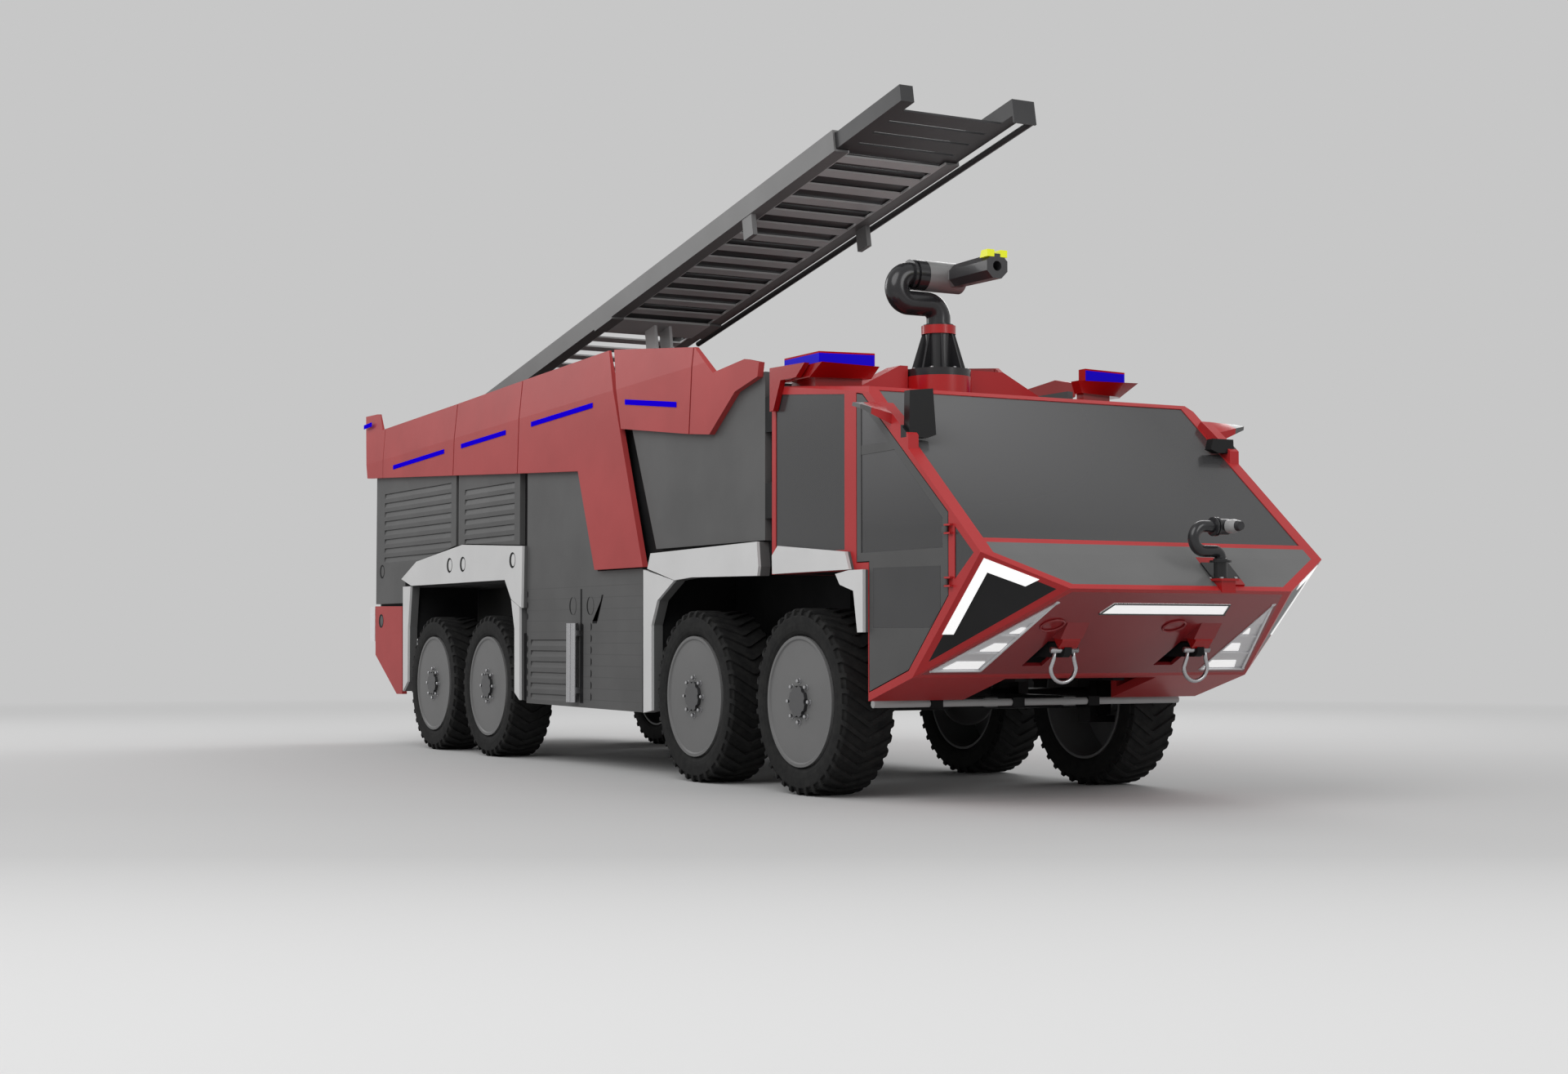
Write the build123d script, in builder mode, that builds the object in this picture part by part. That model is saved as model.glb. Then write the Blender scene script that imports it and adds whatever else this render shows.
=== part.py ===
from build123d import *
import math
import os

# Airport fire truck with four axles, a faceted glass cab and a roof ladder.
# Millimetres. +X points forwards, +Y to the vehicle's left, +Z up, and the origin is on the
# ground at the middle of the vehicle's length. Stations are measured forwards from the rearmost
# axle, as on a chassis drawing, and heights from the ground.

os.makedirs("parts", exist_ok=True)

REAR_AXLE_X = -4100.0
RIGHT = -1
LEFT = 1
SIDES = (RIGHT, LEFT)
SIDE_NAMES = {RIGHT: "right", LEFT: "left"}

# Wheels and axles
AXLE_STATIONS = (7820.0, 6084.0, 1552.0, 0.0)
STEERED_AXLES = 2
HUB_HEIGHT = 690.0
TYRE_RADIUS = 690.0
TYRE_WIDTH = 432.0
CAB_HALF_WIDTH = 1455.0
TYRE_OUTER_Y = CAB_HALF_WIDTH + 39.0
BEAD_RADIUS = 484.0
WALL_RADIUS = 590.0
SHOULDER_RADIUS = 655.0
RIM_WALL = 20.0
RIM_INSET = 14.0
LIP_WIDTH = 22.0
LIP_RISE = 10.0
HUB_CAP_RADIUS = 118.0
HUB_CAP_RISE = 30.0
HUB_CAP_LOBES = 8
HUB_CAP_NOTCH_RADIUS = 24.0
BOSS_RADIUS = 115.0
BOSS_LENGTH = 140.0
SPINDLE_RADIUS = 60.0
SPINDLE_REACH = 160.0
RUNNING_FIT = 0.1
AXLE_TUBE_RADIUS = 80.0
DIFFERENTIAL_RADIUS = 200.0
ROLL_BAR_RADIUS = 27.0
ROLL_BAR_AHEAD = 840.0
ROLL_BAR_HALF_LENGTH = 1360.0
ROLL_BAR_ARM_Y = 350.0
KINGPIN_RADIUS = 35.0
KNUCKLE_HALF_HEIGHT = 140.0
KNUCKLE_HALF_LENGTH = 70.0
YOKE_THICKNESS = 50.0
YOKE_HALF_LENGTH = 80.0
YOKE_BACK = 115.0
YOKE_GAP = 6.0

# Chassis
RAIL_BOTTOM = 850.0
RAIL_TOP = 1130.0
RAIL_Y = 430.0
RAIL_WIDTH = 100.0
RAIL_STATIONS = (-1900.0, 9150.0)
CROSSMEMBER_STATIONS = (-1800.0, -780.0, 780.0, 2400.0, 4200.0, 5400.0, 6950.0, 8500.0)
CROSSMEMBER_LENGTH = 120.0
CAB_POST_STATIONS = (7480.0, 8500.0)
SPRING_SEAT_LENGTH = 260.0
SPRING_SEAT_WIDTH = 90.0
ENGINE_SIZE = (1500.0, 800.0, 900.0)
ENGINE_STATION = -950.0

# Cab outline, seen from the side, by station and height
CAB_REAR = 7342.0
CAB_FLOOR = 1640.0
CAB_ROOF_REAR = 3075.0
SCREEN_TOP = (8711.0, 2942.0)
BELT = (10170.0, 1716.0)
HOOD_FRONT = (10434.0, 1479.0)
CHIN = (9335.0, 887.0)
SILL = (8757.0, 715.0)
HOOD_FRONT_HALF_WIDTH = 936.0
CAB_WALL = 60.0
FRAME_BORDER = 45.0
ROOF_BEVEL = 40.0
PILLAR_BORDER = 100.0
GLASS_THICKNESS = 16.0
GLASS_INSET = 6.0
POST_STATIONS = (8430.0, 8590.0)
DOOR_FRONT = 9790.0
DIVIDER_RISE = 110.0
DIVIDER_WIDTH = 45.0

# Body behind the cab
BODY_HALF_WIDTH = CAB_HALF_WIDTH - 60.0
BODY_REAR = -1960.0
BODY_FRONT = 7222.0
DECK_HEIGHT = 3120.0
ARCH_TOP = 1700.0
ARCH_CORE_HALF_WIDTH = 700.0
REAR_ARCH = (-790.0, 2290.0)
FRONT_ARCH = (5300.0, 7260.0)
FLANK_BOTTOM = 540.0
PANEL_OUTER_Y = BODY_HALF_WIDTH + 55.0
TRIM_OUTER_Y = CAB_HALF_WIDTH + 45.0
LOCKER_THICKNESS = 55.0
TRIM_THICKNESS = 105.0


def at(station):
    """X of a station measured forwards from the rearmost axle."""
    return REAR_AXLE_X + station


def outline_xz(points, outer, side=RIGHT):
    """Face in a plane y = side * outer, from corners given by station and height."""
    with BuildSketch(Plane(origin=(0, side * outer, 0), x_dir=(1, 0, 0), z_dir=(0, -1, 0))) as face:
        with BuildLine():
            Polyline([(at(station), height) for station, height in points], close=True)
        make_face()
    return face.sketch


def flank_plate(points, outer, thickness, side=RIGHT, mode=Mode.ADD):
    """Plate that lies along the flank, with its outer face at y = side * outer."""
    extrude(outline_xz(points, outer, side), amount=thickness, dir=(0, -side, 0), mode=mode)


def beam_between(points, half_width, mode=Mode.ADD):
    """Prism over the whole width, from corners given by station and height."""
    extrude(outline_xz(points, half_width, RIGHT), amount=2 * half_width, dir=(0, 1, 0), mode=mode)


# Wheels: tyre and rim turn together on the spindle

WHEEL_Y = TYRE_OUTER_Y - TYRE_WIDTH / 2
RIM_FACE = TYRE_WIDTH / 2 - RIM_INSET

TYRE_PROFILE = (
    # radius, offset from the middle of the tread
    (BEAD_RADIUS, -0.40 * TYRE_WIDTH),
    (WALL_RADIUS, -0.50 * TYRE_WIDTH),
    (SHOULDER_RADIUS, -0.49 * TYRE_WIDTH),
    (TYRE_RADIUS, -0.44 * TYRE_WIDTH),
    (TYRE_RADIUS, 0.44 * TYRE_WIDTH),
    (SHOULDER_RADIUS, 0.49 * TYRE_WIDTH),
    (WALL_RADIUS, 0.50 * TYRE_WIDTH),
    (BEAD_RADIUS, 0.44 * TYRE_WIDTH),
)

RIM_PROFILE = (
    # radius, offset outwards from the middle of the tread
    (0.0, RIM_FACE + HUB_CAP_RISE),
    (HUB_CAP_RADIUS, RIM_FACE + HUB_CAP_RISE),
    (HUB_CAP_RADIUS, RIM_FACE),
    (BEAD_RADIUS - 1.5 * LIP_WIDTH, RIM_FACE),
    (BEAD_RADIUS - LIP_WIDTH, RIM_FACE + LIP_RISE),
    (BEAD_RADIUS, RIM_FACE + LIP_RISE),
    (BEAD_RADIUS, -0.45 * TYRE_WIDTH),
    (BEAD_RADIUS - RIM_WALL, -0.45 * TYRE_WIDTH),
    (BEAD_RADIUS - RIM_WALL, RIM_FACE - RIM_WALL),
    (BOSS_RADIUS, RIM_FACE - RIM_WALL),
    (BOSS_RADIUS, RIM_FACE - RIM_WALL - BOSS_LENGTH),
    (SPINDLE_RADIUS + RUNNING_FIT, RIM_FACE - RIM_WALL - BOSS_LENGTH),
    (SPINDLE_RADIUS + RUNNING_FIT, SPINDLE_REACH + RUNNING_FIT),
    (0.0, SPINDLE_REACH + RUNNING_FIT),
)


def wheel_plane(station, side):
    """Plane at a hub: its x is along the vehicle and its y points outwards."""
    return Plane(origin=(at(station), side * WHEEL_Y, HUB_HEIGHT), x_dir=(side, 0, 0), z_dir=(0, 0, 1))


def hub_axis(station):
    return Axis((at(station), 0, HUB_HEIGHT), (0, 1, 0))


def revolved_on_hub(profile, station, side):
    with BuildSketch(wheel_plane(station, side)) as section:
        with BuildLine():
            Polyline(list(profile), close=True)
        make_face()
    revolve(section.sketch, axis=hub_axis(station))


for index, station in enumerate(AXLE_STATIONS, start=1):
    for side in SIDES:
        tag = f"{index}_{SIDE_NAMES[side]}"
        with BuildPart() as tyre:
            revolved_on_hub(TYRE_PROFILE, station, side)
        tyre.part.label = f"tyre_{tag}"
        export_step(tyre.part, f"parts/tyre_{tag}.step")

        with BuildPart() as rim:
            revolved_on_hub(RIM_PROFILE, station, side)
            cap_face = side * (WHEEL_Y + RIM_FACE + HUB_CAP_RISE)
            with BuildSketch(Plane(origin=(at(station), cap_face, HUB_HEIGHT), x_dir=(1, 0, 0),
                                   z_dir=(0, side, 0))) as notches:
                with PolarLocations(HUB_CAP_RADIUS + 0.4 * HUB_CAP_NOTCH_RADIUS, HUB_CAP_LOBES):
                    Circle(HUB_CAP_NOTCH_RADIUS)
            extrude(notches.sketch, amount=-HUB_CAP_RISE, mode=Mode.SUBTRACT)
        rim.part.label = f"rim_{tag}"
        export_step(rim.part, f"parts/rim_{tag}.step")


# Knuckles of the two steered axles: block, kingpin and spindle

def spindle(station, side, start):
    """Stub that carries a rim, from a distance off the tyre's middle outwards."""
    with BuildSketch(Plane(origin=(at(station), side * (WHEEL_Y + start), HUB_HEIGHT),
                           x_dir=(1, 0, 0), z_dir=(0, side, 0))) as round_section:
        Circle(SPINDLE_RADIUS)
    extrude(round_section.sketch, amount=SPINDLE_REACH - start, dir=(0, side, 0))


for index, station in enumerate(AXLE_STATIONS[:STEERED_AXLES], start=1):
    for side in SIDES:
        tag = f"{index}_{SIDE_NAMES[side]}"
        with BuildPart() as knuckle:
            with BuildSketch(Plane((at(station), side * WHEEL_Y, HUB_HEIGHT - KNUCKLE_HALF_HEIGHT))):
                Rectangle(2 * KNUCKLE_HALF_LENGTH, 2 * 35)
            extrude(amount=2 * KNUCKLE_HALF_HEIGHT)
            with BuildSketch(Plane((at(station), side * WHEEL_Y,
                                    HUB_HEIGHT - KNUCKLE_HALF_HEIGHT - YOKE_GAP - YOKE_THICKNESS))):
                Circle(KINGPIN_RADIUS)
            extrude(amount=2 * (KNUCKLE_HALF_HEIGHT + YOKE_GAP + YOKE_THICKNESS))
            spindle(station, side, 0)
        knuckle.part.label = f"knuckle_{tag}"
        export_step(knuckle.part, f"parts/knuckle_{tag}.step")


# Axles: beam, differential housing and, at the steered ones, yokes for the kingpins

with BuildPart() as axles:
    for index, station in enumerate(AXLE_STATIONS):
        steered = index < STEERED_AXLES
        beam_end = WHEEL_Y - YOKE_BACK if steered else WHEEL_Y - 150
        with BuildSketch(Plane(origin=(at(station), -beam_end, HUB_HEIGHT), x_dir=(1, 0, 0),
                               z_dir=(0, 1, 0))):
            Circle(AXLE_TUBE_RADIUS)
        extrude(amount=2 * beam_end)
        with Locations((at(station), 0, HUB_HEIGHT)):
            Sphere(DIFFERENTIAL_RADIUS)
        for side in SIDES:
            with Locations((at(station), side * RAIL_Y, (HUB_HEIGHT + RAIL_BOTTOM) / 2)):
                Box(SPRING_SEAT_LENGTH, SPRING_SEAT_WIDTH, RAIL_BOTTOM - HUB_HEIGHT)
            if steered:
                yoke_y = side * (WHEEL_Y - YOKE_BACK / 2 + YOKE_HALF_LENGTH / 4)
                for level in (-1, 1):
                    z = HUB_HEIGHT + level * (KNUCKLE_HALF_HEIGHT + YOKE_GAP + YOKE_THICKNESS / 2)
                    with Locations((at(station), yoke_y, z)):
                        Box(2 * YOKE_HALF_LENGTH, YOKE_BACK + 2 * KINGPIN_RADIUS + 20, YOKE_THICKNESS)
                with Locations((at(station), side * (WHEEL_Y - YOKE_BACK - 30), HUB_HEIGHT)):
                    Box(2 * YOKE_HALF_LENGTH, 60,
                        2 * (KNUCKLE_HALF_HEIGHT + YOKE_GAP + YOKE_THICKNESS))
                with Locations((at(station), side * WHEEL_Y, HUB_HEIGHT)):
                    Cylinder(KINGPIN_RADIUS + RUNNING_FIT, 1000, mode=Mode.SUBTRACT)
            else:
                spindle(station, side, -200)
    bar_x = at(AXLE_STATIONS[0]) + ROLL_BAR_AHEAD
    with BuildSketch(Plane(origin=(bar_x, -ROLL_BAR_HALF_LENGTH, HUB_HEIGHT), x_dir=(1, 0, 0),
                           z_dir=(0, 1, 0))) as roll_bar:
        Circle(ROLL_BAR_RADIUS)
    extrude(roll_bar.sketch, amount=2 * ROLL_BAR_HALF_LENGTH)
    for side in SIDES:
        with Locations((bar_x - ROLL_BAR_AHEAD / 2, side * ROLL_BAR_ARM_Y, HUB_HEIGHT)):
            Box(ROLL_BAR_AHEAD, 4 * ROLL_BAR_RADIUS, 3 * ROLL_BAR_RADIUS)
axles.part.label = "axles"
export_step(axles.part, "parts/axles.step")


# Chassis frame with the tow eyes at its front

TOW_EYE_STATION = 9861.0
TOW_EYE_Y = 570.0
TOW_EYE_HEIGHT = 1077.0
TOW_EYE_RADIUS = 50.0
TOW_EYE_THICKNESS = 60.0
TOW_PIN_RADIUS = 20.0
TOW_ARM_START = 8950.0

RAIL_INNER_Y = RAIL_Y - RAIL_WIDTH / 2
CROSSMEMBER_HEIGHT = RAIL_TOP - RAIL_BOTTOM - 80.0
TOW_GUSSET_LENGTH = 140.0
TOW_GUSSET_SETBACK = 130.0

with BuildPart() as chassis_frame:
    rail_length = RAIL_STATIONS[1] - RAIL_STATIONS[0]
    rail_middle = (RAIL_STATIONS[0] + RAIL_STATIONS[1]) / 2
    for side in SIDES:
        with Locations((at(rail_middle), side * RAIL_Y, (RAIL_BOTTOM + RAIL_TOP) / 2)):
            Box(rail_length, RAIL_WIDTH, RAIL_TOP - RAIL_BOTTOM)
chassis_frame.part.label = "chassis_frame"
export_step(chassis_frame.part, "parts/chassis_frame.step")

# Crossmembers between the rails, posts for the cab, and the tow arms on the rails' outer faces

with BuildPart() as frame_members:
    for station in CROSSMEMBER_STATIONS:
        with Locations((at(station), 0, RAIL_TOP - CROSSMEMBER_HEIGHT / 2)):
            Box(CROSSMEMBER_LENGTH, 2 * RAIL_INNER_Y, CROSSMEMBER_HEIGHT)
    for side in SIDES:
        for station in CAB_POST_STATIONS:
            with Locations((at(station), side * RAIL_Y, (RAIL_TOP + CAB_FLOOR) / 2)):
                Box(RAIL_WIDTH, RAIL_WIDTH, CAB_FLOOR - RAIL_TOP)
        eye_x = at(TOW_EYE_STATION)
        with BuildSketch(Plane(origin=(0, side * TOW_EYE_Y - TOW_EYE_THICKNESS / 2, 0),
                               x_dir=(-1, 0, 0), z_dir=(0, 1, 0))) as eye_outline:
            with Locations((-eye_x, TOW_EYE_HEIGHT)):
                Circle(TOW_EYE_RADIUS)
            with Locations((-(eye_x + at(TOW_ARM_START)) / 2, TOW_EYE_HEIGHT)):
                Rectangle(eye_x - at(TOW_ARM_START), 2 * TOW_EYE_RADIUS)
        extrude(eye_outline.sketch, amount=TOW_EYE_THICKNESS, dir=(0, 1, 0))
        gusset_inner = RAIL_Y + RAIL_WIDTH / 2
        gusset_outer = TOW_EYE_Y - TOW_EYE_THICKNESS / 2
        with Locations((at(RAIL_STATIONS[1]) - TOW_GUSSET_SETBACK, side * (gusset_inner + gusset_outer) / 2,
                        TOW_EYE_HEIGHT)):
            Box(TOW_GUSSET_LENGTH, gusset_outer - gusset_inner, 2 * TOW_EYE_RADIUS)
        with Locations(Location((eye_x, side * TOW_EYE_Y, TOW_EYE_HEIGHT), (90, 0, 0))):
            Cylinder(TOW_PIN_RADIUS + RUNNING_FIT, 2 * TOW_EYE_THICKNESS, mode=Mode.SUBTRACT)
frame_members.part.label = "frame_members"
export_step(frame_members.part, "parts/frame_members.step")


# Engine block between the rails at the rear, on the frame

with BuildPart() as engine_block:
    with Locations((at(ENGINE_STATION), 0, RAIL_TOP + ENGINE_SIZE[2] / 2)):
        Box(ENGINE_SIZE[0], ENGINE_SIZE[1], ENGINE_SIZE[2])
engine_block.part.label = "engine_block"
export_step(engine_block.part, "parts/engine_block.step")


# Cab: one faceted hull, cut into the panels that meet on it

CAB_OUTLINE = (
    # station, height
    (CAB_REAR, CAB_FLOOR),
    (CAB_REAR, CAB_ROOF_REAR),
    SCREEN_TOP,
    BELT,
    HOOD_FRONT,
    CHIN,
    SILL,
    (SILL[0], CAB_FLOOR),
)


def corner_plane(side):
    """Plane through belt corner, hood corner and chin corner, with its normal outwards."""
    belt = Vector(at(BELT[0]), side * CAB_HALF_WIDTH, BELT[1])
    hood = Vector(at(HOOD_FRONT[0]), side * HOOD_FRONT_HALF_WIDTH, HOOD_FRONT[1])
    chin = Vector(at(CHIN[0]), side * CAB_HALF_WIDTH, CHIN[1])
    normal = (hood - belt).cross(chin - belt).normalized()
    if normal.Y * side < 0:
        normal = normal * -1
    return Plane(origin=belt, x_dir=(chin - belt).normalized(), z_dir=normal)


def roof_edge_plane(side):
    """Bevel along the roof's side edge: nothing at the rear corner, full width at the screen."""
    rear = Vector(at(CAB_REAR), side * CAB_HALF_WIDTH, CAB_ROOF_REAR)
    low = Vector(at(SCREEN_TOP[0]), side * CAB_HALF_WIDTH, SCREEN_TOP[1] - ROOF_BEVEL)
    high = Vector(at(SCREEN_TOP[0]), side * (CAB_HALF_WIDTH - ROOF_BEVEL), SCREEN_TOP[1])
    normal = (low - rear).cross(high - rear).normalized()
    if normal.Y * side < 0:
        normal = normal * -1
    return Plane(origin=rear, x_dir=(low - rear).normalized(), z_dir=normal)


def cab_hull(inset):
    """The cab's outer form, drawn in by a distance on every face."""
    with BuildPart() as hull:
        with BuildSketch(Plane(origin=(0, CAB_HALF_WIDTH - inset, 0), x_dir=(1, 0, 0),
                               z_dir=(0, -1, 0))) as side_face:
            with BuildLine():
                Polyline([(at(station), height) for station, height in CAB_OUTLINE], close=True)
            make_face()
            if inset > 0:
                offset(amount=-inset, kind=Kind.INTERSECTION, mode=Mode.REPLACE)
        extrude(side_face.sketch, amount=2 * (CAB_HALF_WIDTH - inset), dir=(0, -1, 0))
        for side in SIDES:
            split(bisect_by=corner_plane(side).offset(-inset), keep=Keep.BOTTOM)
            split(bisect_by=roof_edge_plane(side).offset(-inset), keep=Keep.BOTTOM)
    return hull.part


def facet_plane(upper, lower):
    """Plane on a cab facet that runs across the vehicle: x across, y from lower to upper edge."""
    across = Vector(0, 1, 0)
    up = Vector(upper[0] - lower[0], 0, upper[1] - lower[1]).normalized()
    return Plane(origin=(at(lower[0]), 0, lower[1]), x_dir=across, z_dir=across.cross(up))


SCREEN_LENGTH = math.dist(SCREEN_TOP, BELT)
HOOD_LENGTH = math.dist(BELT, HOOD_FRONT)
BUMPER_LENGTH = math.dist(HOOD_FRONT, CHIN)
screen_plane = facet_plane(SCREEN_TOP, BELT)
hood_plane = facet_plane(BELT, HOOD_FRONT)
bumper_plane = facet_plane(HOOD_FRONT, CHIN)


def screen_outline(clearance):
    """Windscreen opening between the pillars, from the divider bar up to the roof edge."""
    with BuildSketch(screen_plane) as sketch:
        with BuildLine():
            half = CAB_HALF_WIDTH - PILLAR_BORDER - clearance
            low = DIVIDER_RISE + DIVIDER_WIDTH + clearance
            high = SCREEN_LENGTH - FRAME_BORDER - clearance
            Polyline([(-half, low), (half, low), (half, high), (-half, high)], close=True)
        make_face()
    return sketch.sketch


def hood_strip_outline(clearance):
    """Band of the screen plane below the divider bar."""
    with BuildSketch(screen_plane) as sketch:
        with BuildLine():
            half = CAB_HALF_WIDTH - PILLAR_BORDER - clearance
            high = DIVIDER_RISE - clearance
            Polyline([(-half, 0), (half, 0), (half, high), (-half, high)], close=True)
        make_face()
    return sketch.sketch


def hood_facet_outline(clearance):
    """Hood facet inside its border, down to the nose edge."""
    low_half = HOOD_FRONT_HALF_WIDTH - FRAME_BORDER - clearance
    high_half = CAB_HALF_WIDTH - PILLAR_BORDER - clearance
    with BuildSketch(hood_plane) as sketch:
        with BuildLine():
            low = FRAME_BORDER + clearance
            Polyline([(-low_half, low), (low_half, low), (high_half, HOOD_LENGTH),
                      (-high_half, HOOD_LENGTH)], close=True)
        make_face()
    return sketch.sketch


def bumper_outline(clearance):
    """Bumper facet from the nose edge down to the chin, inside the corner edges."""
    with BuildSketch(bumper_plane) as sketch:
        with BuildLine():
            low_half = CAB_HALF_WIDTH - FRAME_BORDER - clearance
            high_half = HOOD_FRONT_HALF_WIDTH - FRAME_BORDER - clearance
            low = FRAME_BORDER + clearance
            high = BUMPER_LENGTH - FRAME_BORDER - clearance
            Polyline([(-low_half, low), (low_half, low), (high_half, high), (-high_half, high)],
                     close=True)
        make_face()
    return sketch.sketch


def corner_outline(side, clearance):
    """Dark corner triangle inside its border, on the corner plane."""
    plane = corner_plane(side)
    corners = [
        Vector(at(BELT[0]), side * CAB_HALF_WIDTH, BELT[1]),
        Vector(at(HOOD_FRONT[0]), side * HOOD_FRONT_HALF_WIDTH, HOOD_FRONT[1]),
        Vector(at(CHIN[0]), side * CAB_HALF_WIDTH, CHIN[1]),
    ]
    local = [plane.to_local_coords(corner) for corner in corners]
    with BuildSketch(plane) as sketch:
        with BuildLine():
            Polyline([(corner.X, corner.Y) for corner in local], close=True)
        make_face()
        offset(amount=-FRAME_BORDER - clearance, kind=Kind.INTERSECTION, mode=Mode.REPLACE)
    return sketch.sketch


DOOR_OUTLINE = (
    # station, height
    (SILL[0] + 8, SILL[1] + 60),
    (SILL[0] + 8, CAB_FLOOR + 50),
    (POST_STATIONS[1] + 5, CAB_FLOOR + 50),
    (POST_STATIONS[1] + 5, 2905.0),
    (SCREEN_TOP[0] - 30, 2890.0),
    (DOOR_FRONT, 1995.0),
    (DOOR_FRONT, 1440.0),
    (9290.0, 935.0),
)

SIDE_PANE_OUTLINE = (
    # station, height
    (CAB_REAR + 60, 1790.0),
    (CAB_REAR + 60, 3005.0),
    (POST_STATIONS[0], 2910.0),
    (POST_STATIONS[0], 1790.0),
)

QUARTER_PANE_OUTLINE = (
    # station, height
    (DOOR_FRONT + 75, 1545.0),
    (DOOR_FRONT + 75, 1900.0),
    (10090.0, 1715.0),
)

ROOF_HALF_WIDTH = CAB_HALF_WIDTH - FRAME_BORDER


def roof_outline(clearance):
    """Strip of roof, seen from the side."""
    slope = (SCREEN_TOP[1] - CAB_ROOF_REAR) / (SCREEN_TOP[0] - CAB_REAR)
    back = CAB_REAR + CAB_WALL + clearance
    front = SCREEN_TOP[0] - 70 - clearance
    back_z = CAB_ROOF_REAR + slope * (back - CAB_REAR)
    front_z = CAB_ROOF_REAR + slope * (front - CAB_REAR)
    return ((back, back_z), (front, front_z), (front, front_z - CAB_WALL), (back, back_z - CAB_WALL))


CUT_DEPTH = 140.0
HINGE_STATION = DOOR_FRONT - 4.0
HINGE_OUT = 17.0
HINGE_HEIGHTS = (1530.0, 1880.0)
HINGE_HALF_HEIGHT = 20.0
HINGE_PIN_RADIUS = 8.0
HINGE_KNUCKLE_RADIUS = 13.0
NOSE_PANEL = 25.0
GAP_HINGE_HEIGHTS = (2865.0, 2205.0)
GAP_HINGE_HEIGHT = 270.0
GAP_HINGE_WIDTH = 50.0
FRAME_TUNNEL = (8600.0, 9290.0)
FRAME_TUNNEL_HALF_WIDTH = 660.0
FRAME_TUNNEL_TOP = 1200.0

with BuildPart() as cab_frame:
    add(cab_hull(0))
    add(cab_hull(CAB_WALL), mode=Mode.SUBTRACT)
    extrude(screen_outline(0), amount=CUT_DEPTH, both=True, mode=Mode.SUBTRACT)
    extrude(hood_strip_outline(0), amount=CUT_DEPTH / 2, both=True, mode=Mode.SUBTRACT)
    extrude(hood_facet_outline(0), amount=CUT_DEPTH / 2, both=True, mode=Mode.SUBTRACT)
    extrude(bumper_outline(0), amount=CUT_DEPTH / 2, both=True, mode=Mode.SUBTRACT)
    for side in SIDES:
        extrude(corner_outline(side, 0), amount=CUT_DEPTH / 2, both=True, mode=Mode.SUBTRACT)
        flank_plate(DOOR_OUTLINE, CAB_HALF_WIDTH + 10, CAB_WALL + 30, side, Mode.SUBTRACT)
        flank_plate(SIDE_PANE_OUTLINE, CAB_HALF_WIDTH + 10, CAB_WALL + 30, side, Mode.SUBTRACT)
        flank_plate(QUARTER_PANE_OUTLINE, CAB_HALF_WIDTH + 10, CAB_WALL + 30, side, Mode.SUBTRACT)
    with Locations((at(CAB_REAR), 0, (CAB_FLOOR + CAB_ROOF_REAR) / 2)):
        Box(2 * CAB_WALL + 20, 2 * (CAB_HALF_WIDTH - CAB_WALL), CAB_ROOF_REAR - CAB_FLOOR - 2 * CAB_WALL,
            mode=Mode.SUBTRACT)
    beam_between(((CAB_REAR + CAB_WALL, CAB_FLOOR - 10), (CAB_REAR + CAB_WALL, CAB_FLOOR + CAB_WALL + 10),
                  (SILL[0] - 60, CAB_FLOOR + CAB_WALL + 10), (SILL[0] - 60, CAB_FLOOR - 10)),
                 CAB_HALF_WIDTH - CAB_WALL, Mode.SUBTRACT)
    beam_between(roof_outline(0), CAB_HALF_WIDTH - CAB_WALL, Mode.SUBTRACT)
    beam_between(((FRAME_TUNNEL[0], SILL[1] - 100), (FRAME_TUNNEL[0], FRAME_TUNNEL_TOP),
                  (FRAME_TUNNEL[1], FRAME_TUNNEL_TOP), (FRAME_TUNNEL[1], SILL[1] - 100)),
                 FRAME_TUNNEL_HALF_WIDTH, Mode.SUBTRACT)
    for side in SIDES:
        for height in HINGE_HEIGHTS:
            for level in (-1, 1):
                bracket_height = height + level * (HINGE_HALF_HEIGHT + 8)
                with Locations((at(HINGE_STATION) + 25, side * (CAB_HALF_WIDTH + HINGE_OUT), bracket_height)):
                    Box(70, 2 * HINGE_KNUCKLE_RADIUS - 4, 12)
                with Locations((at(HINGE_STATION) + 37, side * (CAB_HALF_WIDTH + HINGE_OUT / 2 - 1),
                                bracket_height)):
                    Box(46, HINGE_OUT + 2, 12)
            with Locations((at(HINGE_STATION), side * (CAB_HALF_WIDTH + HINGE_OUT), height)):
                Cylinder(HINGE_PIN_RADIUS, 2 * HINGE_HALF_HEIGHT + 16)
cab_frame.part.label = "cab_frame"
export_step(cab_frame.part, "parts/cab_frame.step")

ROOF_SLOPE = (SCREEN_TOP[1] - CAB_ROOF_REAR) / (SCREEN_TOP[0] - CAB_REAR)


def roof_height(station):
    return CAB_ROOF_REAR + ROOF_SLOPE * (station - CAB_REAR)


def roof_plane(station):
    """Plane that lies on the roof sheet."""
    return Plane(origin=(at(station), 0, roof_height(station)), x_dir=(0, 1, 0), z_dir=(-ROOF_SLOPE, 0, 1))


MONITOR_STATION = 7655.0
MONITOR_Y = -150.0
MONITOR_DISC_RADIUS = 257.0
HUMP_STATIONS = (7420.0, 7620.0)
HUMP_TOP_HALF_WIDTH = 480.0
HUMP_FOOT_HALF_WIDTH = 905.0
HUMP_TOP = 3262.0
HUMP_CLEARANCE = 5.0

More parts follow.
